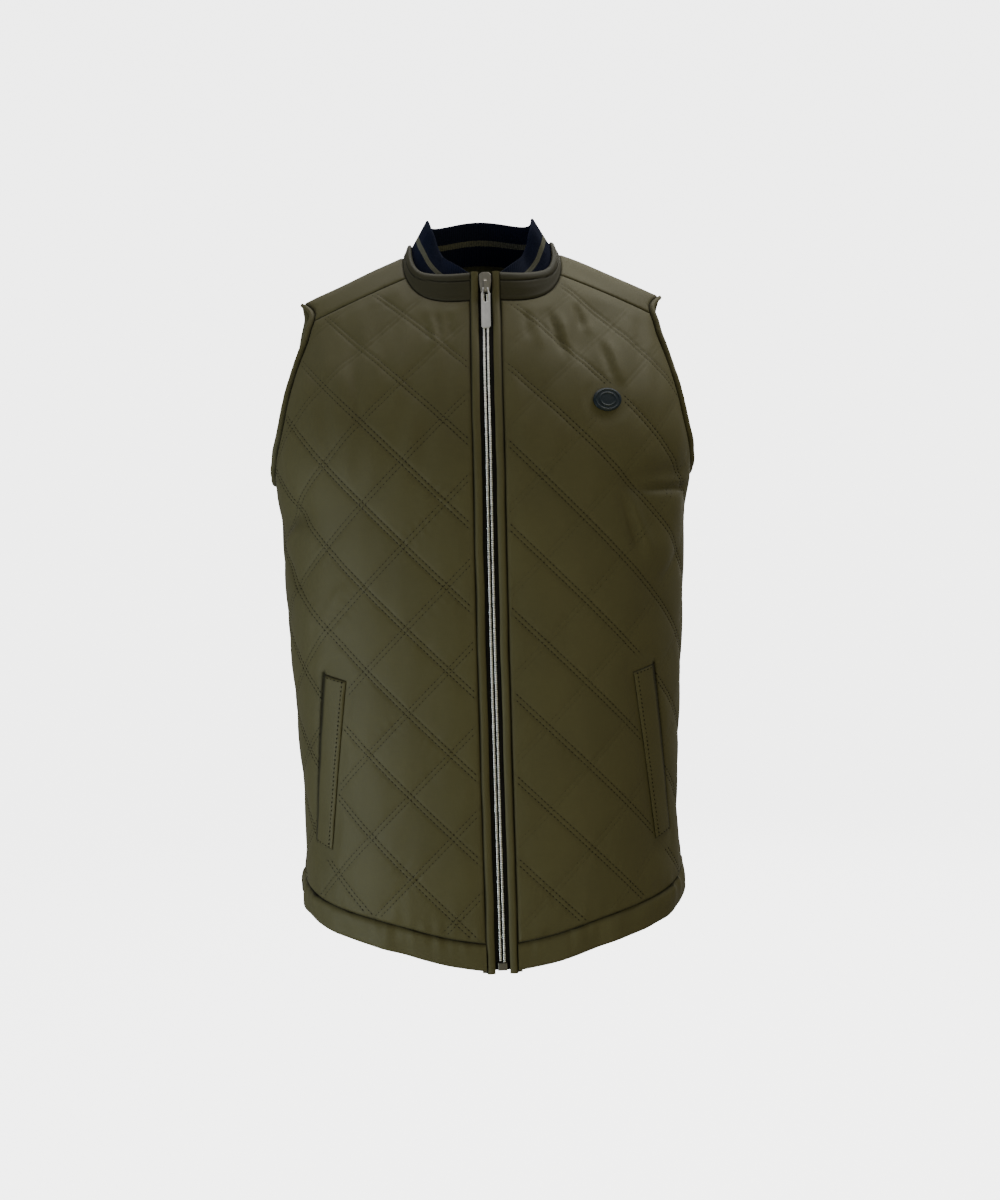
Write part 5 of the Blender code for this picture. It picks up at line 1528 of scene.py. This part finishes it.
def build_welts(material, panels):
    """A slanted strip beside each pocket slit, with its end and front stitches."""
    section = round_section(WELT_SECTION, WELT_POINTS)
    length = math.hypot(WELT_TOP - WELT_BOTTOM, WELT_TOP_ACROSS - WELT_BOTTOM_ACROSS)
    from_end = np.array(WELT_END_STATIONS)
    middle = np.arange(WELT_END_STATIONS[-1] + WELT_STEP, length - WELT_END_STATIONS[-1], WELT_STEP)
    reach = np.concatenate([from_end, middle, length - from_end[::-1]])
    shares = reach / length
    nearest_end = np.minimum(reach, length - reach)
    full = np.sqrt(1 - (1 - np.clip(nearest_end / WELT_END_STATIONS[-1], WELT_END_THIN, 1)) ** 2)
    made = []
    sewing = []
    for panel, name in panels:
        points = panel.on_welt(shares[:, None], section[None, :, 0]).reshape(-1, 2)
        rise = np.clip(section[None, :, 1], 0, None) * full[:, None]
        soft = wrinkled(points, WELT_WRINKLES).reshape(rise.shape) * rise
        lift = WALL + WELT_SIT + WELT_THICK * rise + soft
        rings = panel.place(points, lift.ravel()).reshape(len(reach), len(section), 3)
        # Painted shade in the pocket slit beside the welt and round the welt's ends
        from_slit = (0.5 - section[:, 0]) * WELT_WIDTH
        slit = np.exp(-(from_slit / SLIT_SHADE_WIDTH) ** 4)
        ends = WELT_END_SHADE * np.exp(-(nearest_end / SEAM_SHADE_WIDTH) ** 2)
        shade = np.maximum(slit[None, :], ends[:, None])
        made.append(sweep("welt_" + name + "_cloth", material, rings, marks={"seam": shade}))
        along = np.arange(WELT_STITCH_IN, length - WELT_STITCH_IN, STITCH_STEP) / length
        across = np.arange(WELT_STITCH_IN - WELT_WIDTH / 2, WELT_WIDTH / 2, STITCH_STEP) / WELT_WIDTH
        end = WELT_STITCH_IN / length
        lines = [panel.on_welt(along, np.full(len(along), WELT_STITCH_IN / WELT_WIDTH - 0.5))]
        lines += [panel.on_welt(np.full(len(across), share), across) for share in (end, 1 - end)]
        for line in lines:
            spots = panel.place(line, np.full(len(line), WALL + WELT_SIT + WELT_THICK + STITCH_RISE))
            sewing.append((spots, np.gradient(spots, axis=0), panel.half.place(line[:, 0], line[:, 1])[1]))
    return made, sewing


def build_badge(material, panel):
    """An oval badge with plain raised rings and a soft rim."""
    turn = np.linspace(0, 2 * math.pi, BADGE_SIDES, endpoint=False)
    oval = np.stack([np.cos(turn), np.sin(turn) * BADGE_TALL_SHARE], axis=1)
    top = np.linspace(BADGE_TOP_FROM, BADGE_TOP_TO, BADGE_TOP_RINGS)
    ring_rise = np.zeros(BADGE_TOP_RINGS)
    for ring in BADGE_RINGS_AT:
        ring_rise += np.exp(-((top - ring) / BADGE_RING_WIDTH) ** 2)
    levels = [(BADGE_UNDER_SHARE, 0.0), (1.0, 0.0), (1.0, BADGE_THICK * BADGE_RIM_SHARE)]
    levels += list(zip(top, BADGE_THICK + BADGE_RING_RISE * ring_rise))
    rings = []
    for share, rise in levels:
        points = np.array((BADGE_ACROSS, BADGE_HEIGHT)) + oval * share * BADGE_RADIUS
        rings.append(panel.place(points, np.full(BADGE_SIDES, WALL + BADGE_LIFT + rise)))
    return sweep("badge_moulded", material, rings)


def bevelled_copy(node, name, material, width):
    """A solid's own form with its edges rounded."""
    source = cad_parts[node]
    work = bmesh.new()
    work.from_mesh(source.data)
    work.transform(source.matrix_world)
    bmesh.ops.remove_doubles(work, verts=work.verts, dist=SAME_POINT)
    flat = math.radians(FLAT_ANGLE)
    bmesh.ops.dissolve_limit(work, angle_limit=flat, verts=work.verts, edges=work.edges)
    mesh = bpy.data.meshes.new(name)
    work.to_mesh(mesh)
    work.free()
    mesh.materials.append(material)
    piece = bpy.data.objects.new(name, mesh)
    bpy.context.scene.collection.objects.link(piece)
    bevel = piece.modifiers.new("edges", "BEVEL")
    bevel.width = width * MM
    bevel.segments = METAL_EDGE_STEPS
    bevel.limit_method = "ANGLE"
    bevel.angle_limit = math.radians(METAL_EDGE_ANGLE)
    return plain_mesh(piece)


# Copies laid on points

def plain_mesh(piece):
    """The piece with its modifiers worked into its mesh."""
    evaluated = piece.evaluated_get(bpy.context.evaluated_depsgraph_get())
    mesh = bpy.data.meshes.new_from_object(evaluated)
    mesh.name = piece.name
    piece.modifiers.clear()
    piece.data = mesh
    return piece


def copies_tree(name, shape):
    """A node tree that lays one small shape on every point, turned along and out as the point says."""
    tree = bpy.data.node_groups.new(name, "GeometryNodeTree")
    tree.interface.new_socket("Points", in_out="INPUT", socket_type="NodeSocketGeometry")
    for size in ("Length", "Width"):
        tree.interface.new_socket(size, in_out="INPUT", socket_type="NodeSocketFloat")
    tree.interface.new_socket("Finish", in_out="INPUT", socket_type="NodeSocketMaterial")
    tree.interface.new_socket("Copies", in_out="OUTPUT", socket_type="NodeSocketGeometry")

    def add(kind, settings=None, **links):
        """A node with its settings and then the values or links of its sockets."""
        node = tree.nodes.new(kind)
        for key, value in (settings or {}).items():
            setattr(node, key, value)
        for socket, value in links.items():
            target = node.inputs[socket.replace("_", " ")]
            if isinstance(value, bpy.types.NodeSocket):
                tree.links.new(value, target)
            else:
                target.default_value = value
        return node

    given = add("NodeGroupInput").outputs
    if shape == "stitch":
        ball = add("GeometryNodeMeshUVSphere", Segments=STITCH_SIDES, Rings=STITCH_RINGS, Radius=0.5)
        size = add("ShaderNodeCombineXYZ", X=given["Length"], Y=given["Width"], Z=given["Width"])
        form = add("GeometryNodeTransform", Geometry=ball.outputs["Mesh"], Scale=size.outputs["Vector"])
    else:
        rod = add("GeometryNodeMeshCylinder", Vertices=TOOTH_SIDES, Radius=given["Width"],
                  Depth=given["Length"])
        form = add("GeometryNodeTransform", Geometry=rod.outputs["Mesh"], Rotation=(0, math.pi / 2, 0))
    vector = {"data_type": "FLOAT_VECTOR"}
    along = add("GeometryNodeInputNamedAttribute", vector, Name="along").outputs["Attribute"]
    out = add("GeometryNodeInputNamedAttribute", vector, Name="out").outputs["Attribute"]
    turn = add("FunctionNodeAlignRotationToVector", {"axis": "X"}, Vector=along).outputs[0]
    rolled = {"axis": "Z", "pivot_axis": "X"}
    turn = add("FunctionNodeAlignRotationToVector", rolled, Rotation=turn, Vector=out)
    chance = add("FunctionNodeRandomValue", {"data_type": "FLOAT"}, Seed=COPIES_SEED)
    chance.inputs[2].default_value = COPIES_SMALLEST
    chance.inputs[3].default_value = 1.0
    laid = add("GeometryNodeInstanceOnPoints", Points=given["Points"], Instance=form.outputs["Geometry"],
               Rotation=turn.outputs[0], Scale=chance.outputs[1])
    solid = add("GeometryNodeRealizeInstances", Geometry=laid.outputs["Instances"])
    smooth = add("GeometryNodeSetShadeSmooth", Geometry=solid.outputs["Geometry"])
    finish = add("GeometryNodeSetMaterial", Geometry=smooth.outputs["Geometry"], Material=given["Finish"])
    add("NodeGroupOutput", Copies=finish.outputs["Geometry"])
    return tree


def lay_copies(name, tree, places, length, width, material):
    """A piece of one shape laid on many places, each with its directions along and out."""
    spots, along, out = [np.concatenate(group) for group in zip(*places)]
    mesh = bpy.data.meshes.new(name)
    mesh.from_pydata((hung(spots) * MM).tolist(), [], [])
    for mark, values in (("along", along), ("out", out)):
        values = values / np.linalg.norm(values, axis=1)[:, None]
        attribute = mesh.attributes.new(mark, "FLOAT_VECTOR", "POINT")
        attribute.data.foreach_set("vector", values.astype(np.float32).ravel())
    piece = bpy.data.objects.new(name, mesh)
    bpy.context.scene.collection.objects.link(piece)
    modifier = piece.modifiers.new("copies", "NODES")
    modifier.node_group = tree
    values = {"Length": length * MM, "Width": width * MM, "Finish": material}
    for socket in tree.interface.items_tree:
        if socket.name in values:
            modifier[socket.identifier] = values[socket.name]
    return plain_mesh(piece)


# Finishes

class Wire:
    """One value in a material's node tree; sums on it add Math nodes."""

    def __init__(self, tree, socket):
        self.tree = tree
        self.socket = socket

    def node(self, kind, settings=None, output=0, **inputs):
        """Any other node, with its settings and then the values or wires of its sockets."""
        made = self.tree.nodes.new(kind)
        for key, value in (settings or {}).items():
            setattr(made, key, value)
        for key, value in inputs.items():
            target = made.inputs[int(key[1:]) if key[1:].isdigit() else key.replace("_", " ")]
            if isinstance(value, Wire):
                self.tree.links.new(value.socket, target)
            else:
                target.default_value = value
        return Wire(self.tree, made.outputs[output])

    def math(self, operation, *others):
        """A Math node on this value and others, which are wires or numbers."""
        values = {"n" + str(number): value for number, value in enumerate((self, *others))}
        return self.node("ShaderNodeMath", {"operation": operation}, **values)

    def __add__(self, other):
        return self.math("ADD", other)

    def __mul__(self, other):
        return self.math("MULTIPLY", other)

    def __sub__(self, other):
        return self.math("SUBTRACT", other)

    def __rsub__(self, other):
        return self * -1 + other

    __radd__ = __add__
    __rmul__ = __mul__

    def noise(self, scale, detail=2.0):
        """Values near 0.5 that change over about one unit divided by the scale."""
        return self.node("ShaderNodeTexNoise", None, "Fac", Vector=self, Scale=scale, Detail=detail)

    def stretched(self, x, y, z=1.0):
        """These coordinates scaled by different amounts each way."""
        return self.node("ShaderNodeMapping", None, 0, Vector=self, Scale=(x, y, z))

    def mark(self, name):
        """A value kept on the mesh's points."""
        return self.node("ShaderNodeAttribute", {"attribute_name": name}, "Fac")

    def between(self, colour_a, colour_b):
        """A colour from a to b as this value goes from 0 to 1."""
        ends = {}
        for key, colour in (("n6", colour_a), ("n7", colour_b)):
            ends[key] = colour if isinstance(colour, Wire) else (*colour, 1.0)
        return self.node("ShaderNodeMix", {"data_type": "RGBA", "clamp_factor": True}, 2, n0=self, **ends)


def start_material(name):
    """A new material, its shader and a wire to begin from: the cloth's own coordinates in millimetres."""
    material = bpy.data.materials.new(name)
    material.use_nodes = True
    tree = material.node_tree
    shader = tree.nodes["Principled BSDF"]
    cloth = Wire(tree, None).node("ShaderNodeUVMap", {"uv_map": "cloth"})
    return material, shader, cloth


def connect(wire, shader, socket):
    """Lead a wire into one of the shader's sockets."""
    wire.tree.links.new(wire.socket, shader.inputs[socket])


def shades(finish):
    """A finish's darkest and lightest colour."""
    dark = tuple(value * finish.darker for value in finish.colour)
    light = tuple(value * finish.lighter for value in finish.colour)
    return dark, light


def raise_surface(height, shader, finish):
    """Fine relief that follows a height."""
    bump = height.node("ShaderNodeBump", None, 0, Height=height, Distance=finish.relief * MM,
                       Strength=finish.relief_strength)
    connect(bump, shader, "Normal")


def grain_finish(grain, shader, finish):
    """Colour, roughness and relief that all follow one grain."""
    connect(grain.between(*shades(finish)), shader, "Base Color")
    connect(grain * finish.roughness_range + finish.roughness, shader, "Roughness")
    shader.inputs["Specular IOR Level"].default_value = finish.specular
    if finish.relief:
        raise_surface(grain, shader, finish)


def weave_height(cloth, pitch):
    """A plain weave: threads over and under each other."""
    across = cloth.node("ShaderNodeSeparateXYZ", None, "X", Vector=cloth)
    up = cloth.node("ShaderNodeSeparateXYZ", None, "Y", Vector=cloth)
    turn = 2 * math.pi / pitch
    return (across * turn).math("SINE") * (up * turn).math("SINE") * 0.5 + 0.5


def olive_cloth(name, finish):
    """Matt woven olive cloth, a little uneven in colour, with painted shade in its seams and sewn lines."""
    material, shader, cloth = start_material(name)
    patches = cloth.noise(PATCHES, FINE_DETAIL)
    across = cloth.stretched(1.0, THREAD_SLENDERNESS)
    up = cloth.stretched(THREAD_SLENDERNESS, 1.0)
    threads = across.noise(THREADS) + up.noise(THREADS)
    tone = (patches - 0.5) * PATCH_CONTRAST + (threads - 1.0) * THREAD_CONTRAST + 0.5
    plain = tone.between(*shades(finish))
    # Painted shade: the seam and sewn marks darken the cloth in seam grooves, the pocket slit, the welt ends
    # and along sewn lines
    seam = cloth.mark("seam")
    sewn = cloth.mark("sewn")
    seam_shade_colour = tuple(value * SEAM_SHADE_COLOUR for value in finish.colour)
    shaded = (seam * SEAM_SHADE_DARKNESS + sewn * SEWN_SHADE_DARKNESS).between(plain, seam_shade_colour)
    connect(shaded, shader, "Base Color")
    roughness = threads * finish.roughness_range + seam * SEAM_ROUGHNESS + finish.roughness
    connect(roughness, shader, "Roughness")
    height = weave_height(cloth, WEAVE_PITCH) * WEAVE_RELIEF + threads * THREAD_RELIEF
    raise_surface(height, shader, finish)
    shader.inputs["Sheen Weight"].default_value = SHEEN
    shader.inputs["Sheen Roughness"].default_value = SHEEN_ROUGHNESS
    shader.inputs["Sheen Tint"].default_value = SHEEN_COLOUR
    shader.inputs["Specular IOR Level"].default_value = finish.specular
    return material


def rib_knit(name):
    """Dark knit with one woven-in stripe at an even depth below the top edge, and painted shade in the
    grooves between its ribs.
    """
    material, shader, cloth = start_material(name)
    ridge = cloth.mark("ridge")
    off_stripe = (cloth.mark("from_top") - STRIPE_FROM_TOP).math("ABSOLUTE")
    stripe = (STRIPE_WIDTH / 2 - off_stripe) * STRIPE_SHARPNESS
    stripe = stripe.math("MAXIMUM", 0.0).math("MINIMUM", 1.0)
    fuzz = cloth.noise(KNIT_FUZZ, FINE_DETAIL)
    # Painted shade: grooves between the ribs darker, ridges lighter
    navy = (ridge * RIB_GROOVE_SHADE_SHARE + fuzz * NAVY_FUZZ_SHARE).between(*shades(NAVY_KNIT))
    olive = (ridge * RIB_GROOVE_SHADE_SHARE + fuzz * STRIPE_FUZZ_SHARE).between(*shades(STRIPE_KNIT))
    connect(stripe.between(navy, olive), shader, "Base Color")
    connect(fuzz * NAVY_KNIT.roughness_range + NAVY_KNIT.roughness, shader, "Roughness")
    raise_surface(fuzz, shader, NAVY_KNIT)
    shader.inputs["Specular IOR Level"].default_value = NAVY_KNIT.specular
    return material


def woven_tape(name):
    """Black tape with a coarse weave."""
    material, shader, cloth = start_material(name)
    grain_finish(weave_height(cloth, TAPE_WEAVE_PITCH), shader, BLACK_TAPE)
    return material


def sewing_thread(name):
    """Dull thread, a little fuzzy; its near-black colour is partly painted shade of the needle holes."""
    material, shader, cloth = start_material(name)
    place = cloth.node("ShaderNodeTexCoord", None, "Object")
    grain_finish(place.noise(THREAD_FUZZ), shader, THREAD_AND_HOLE_SHADE)
    return material


def plated_metal(name, finish):
    """Plated metal with faint rubbing marks."""
    material, shader, cloth = start_material(name)
    place = cloth.node("ShaderNodeTexCoord", None, "Object")
    rubbed = place.stretched(1.0, 1.0, RUBBING_LENGTHENED).noise(RUBBING, FINE_DETAIL)
    grain_finish(rubbed, shader, finish)
    shader.inputs["Metallic"].default_value = 1.0
    return material


def moulded_badge(name):
    """Dark moulded badge with a soft grain."""
    material, shader, cloth = start_material(name)
    grain_finish(cloth.noise(BADGE_GRAIN, FINE_DETAIL), shader, MOULDED_NAVY)
    return material


# Stage, light and camera

def build_stage():
    """A pale round floor that runs up into a plain wall all round, one sheet."""
    profile = [(STAGE_RADIUS - STAGE_COVE, STAGE_FLOOR)]
    for turn in np.linspace(0, math.pi / 2, STAGE_COVE_STEPS)[1:]:
        out = STAGE_RADIUS - STAGE_COVE * (1 - math.sin(turn))
        profile.append((out, STAGE_FLOOR + STAGE_COVE * (1 - math.cos(turn))))
    profile.append((STAGE_RADIUS, STAGE_TOP))
    angles = np.linspace(0, 2 * math.pi, STAGE_SIDES, endpoint=False)
    points = []
    for out, height in profile:
        points += [(out * math.cos(angle), out * math.sin(angle), height) for angle in angles]
    faces = [tuple(range(STAGE_SIDES))]
    for low in range(0, len(points) - STAGE_SIDES, STAGE_SIDES):
        for side in range(STAGE_SIDES):
            after = (side + 1) % STAGE_SIDES
            faces.append((low + side, low + STAGE_SIDES + side, low + STAGE_SIDES + after, low + after))
    mesh = bpy.data.meshes.new("pale_floor")
    mesh.from_pydata(points, [], faces)
    mesh.shade_smooth()
    material, shader, _ = start_material("pale_floor")
    shader.inputs["Base Color"].default_value = STAGE_COLOUR
    shader.inputs["Roughness"].default_value = STAGE_ROUGHNESS
    shader.inputs["Emission Color"].default_value = STAGE_GLOW_COLOUR
    shader.inputs["Emission Strength"].default_value = STAGE_GLOW
    mesh.materials.append(material)
    floor = bpy.data.objects.new("pale_floor", mesh)
    floor.visible_diffuse = False
    floor.visible_glossy = False
    bpy.context.scene.collection.objects.link(floor)


def build_lights():
    """Soft window light from one side, a warm bounce from the other and an even room."""
    target = Vector(LIGHTS_AIM)
    for row in LIGHTS:
        lamp = bpy.data.lights.new(row.name, "AREA")
        lamp.energy = row.power
        lamp.size = row.size
        lamp.color = row.colour
        light = bpy.data.objects.new(row.name, lamp)
        place = Vector((row.x, row.y, row.z))
        light.location = place
        light.rotation_euler = (target - place).to_track_quat("-Z", "Y").to_euler()
        light.visible_camera = False
        bpy.context.scene.collection.objects.link(light)
    world = bpy.data.worlds.new("soft_room")
    world.use_nodes = True
    room = world.node_tree.nodes["Background"]
    room.inputs["Color"].default_value = ROOM_COLOUR
    room.inputs["Strength"].default_value = ROOM_LIGHT
    bpy.context.scene.world = world


def build_camera():
    """A level camera at the photograph's distance, turn, tilt and framing."""
    turn = math.radians(CAMERA_AZIMUTH)
    roll = math.radians(CAMERA_ROLL)
    ahead = Vector((-math.sin(turn), math.cos(turn), 0))
    upright = Vector((0, 0, 1))
    right = ahead.cross(upright)
    tilted_right = right * math.cos(roll) - upright * math.sin(roll)
    tilted_up = upright * math.cos(roll) + right * math.sin(roll)
    lens = bpy.data.cameras.new("camera")
    lens.sensor_fit = "AUTO"
    lens.sensor_width = CAMERA_SENSOR
    lens.lens = CAMERA_FOCUS_PIXELS / IMAGE_HEIGHT * CAMERA_SENSOR
    lens.shift_x = (IMAGE_WIDTH / 2 - CAMERA_MIDDLE_X) / IMAGE_HEIGHT
    lens.shift_y = -(IMAGE_HEIGHT / 2 - CAMERA_MIDDLE_Y) / IMAGE_HEIGHT
    camera = bpy.data.objects.new("camera", lens)
    place = Vector((0, 0, CAMERA_HEIGHT)) - ahead * CAMERA_DISTANCE
    axes = Matrix((tilted_right, tilted_up, -ahead)).transposed()
    camera.matrix_world = Matrix.Translation(place) @ axes.to_4x4()
    bpy.context.scene.collection.objects.link(camera)
    bpy.context.scene.camera = camera


# Putting it together

def declare_panel(piece, outline):
    """Work out the box round a panel's flat outline and the outline's own area, which are not kept."""
    size = (outline.max(axis=0) - outline.min(axis=0)) * MM
    area = polygon_area(outline) * MM * MM


def declare_band(piece, width, length):
    """Work out a narrow piece's length in metres, which is not kept."""
    length * MM


def build_all():
    """Every piece with its finish, on its body, in place of its solid."""
    quilted = olive_cloth("quilted_olive", OLIVE)
    plain = olive_cloth("plain_olive", OLIVE)
    shaded_collar_cloth = olive_cloth("shaded_collar_olive", SHADED_COLLAR_OLIVE)
    knit = rib_knit("navy_rib")
    tape = woven_tape("black_tape")
    thread = sewing_thread("thread_and_hole_shade")
    metal = plated_metal("zip_silver", ZIP_SILVER)
    slider_metal = plated_metal("slider_metal", SLIDER_METAL)
    dull_metal = plated_metal("box_dull_metal", BOX_METAL)
    moulded = moulded_badge("navy_badge")

    outline = front_outline()
    right_quilting = QUILT_RIGHT._replace(across=-QUILT_RIGHT.across)
    right_folds = other_side(FOLDS_RIGHT)
    right_creases = other_side(CREASES_RIGHT)
    left_panel = QuiltedPanel(FRONT, outline, QUILT_LEFT, FOLDS_LEFT, CREASES_LEFT, 1)
    right_panel = QuiltedPanel(FRONT, outline * (-1, 1), right_quilting, right_folds, right_creases, -1)
    back_panel = QuiltedPanel(BACK, back_outline(), QUILT_BACK, FOLDS_BACK, CREASES_BACK)
    yoke, yoke_cut = build_yoke(plain)
    dress(yoke, "plain_cloth", "yoke")
    declare_panel(yoke, yoke_cut)
    stitch = copies_tree("laid_stitches", "stitch")
    for panel, name in ((left_panel, "front_left"), (right_panel, "front_right"), (back_panel, "back")):
        piece = dress(panel.build(name + "_cloth", quilted), "quilted_cloth", name)
        declare_panel(piece, panel.outline)
        places = [panel.stitches()]
        sewing = lay_copies(name + "_sewing", stitch, places, STITCH_LENGTH, STITCH_WIDTH, thread)
        dress(sewing, "quilted_cloth")

    for piece, node in zip(build_hem_bands(plain), ("hem_band_left", "hem_band_right", "hem_band_back")):
        dress(piece, "plain_cloth", node)
        declare_band(piece, HEM_BAND, HEM_CUT[node])

    bindings, armhole_length = build_bindings(plain)
    for piece, node in zip(bindings, ("armhole_binding_left", "armhole_binding_right")):
        dress(piece, "plain_cloth", node)
        declare_band(piece, BINDING_CUT, armhole_length)

    collar, neck_length, collar_area, collar_stitches = build_collar(shaded_collar_cloth)
    dress(collar, "plain_cloth", "collar_band")
    2 * neck_length * MM
    collar_area * MM * MM
    rib, rib_length, rib_height = build_rib(knit)
    dress(rib, "rib_knit", "collar_rib")
    declare_band(rib, rib_height, 2 * rib_length)

    for piece, node in zip(build_strips(plain), ("edge_strip_left", "edge_strip_right")):
        dress(piece, "plain_cloth", node)
        declare_band(piece, STRIP_CUT, OPENING.top)
    for piece, node in zip(build_tapes(tape), ("zip_tape_left", "zip_tape_right")):
        dress(piece, "zip_tape", node)
        declare_band(piece, TAPE_OUTER - TAPE_INNER, OPENING.top)

    welts, welt_stitches = build_welts(plain, ((left_panel, "left"), (right_panel, "right")))
    for piece, node in zip(welts, ("welt_left", "welt_right")):
        dress(piece, "plain_cloth", node)
        declare_band(piece, WELT_WIDTH, WELT_TOP - WELT_BOTTOM)
    places = [collar_stitches] + welt_stitches
    sewing = lay_copies("trim_sewing", stitch, places, STITCH_LENGTH, STITCH_WIDTH, thread)
    dress(sewing, "plain_cloth")
    dress(build_badge(moulded, left_panel), "badge", "badge")

    tooth = copies_tree("laid_teeth", "tooth")
    teeth = lay_copies("zip_teeth", tooth, [tooth_places()], TOOTH_WIDTH, TOOTH_RADIUS, metal)
    dress(teeth, "zip_metal", "zip_chain")
    hardware = (
        ("zip_slider", slider_metal, "garment"),
        ("zip_box", dull_metal, "garment"),
        ("zip_pull", metal, "pull"),
    )
    for node, finish, body in hardware:
        dress(bevelled_copy(node, node + "_metal", finish, METAL_EDGE), "zip_metal", node, body=body)


build_all()
build_stage()
build_lights()
build_camera()
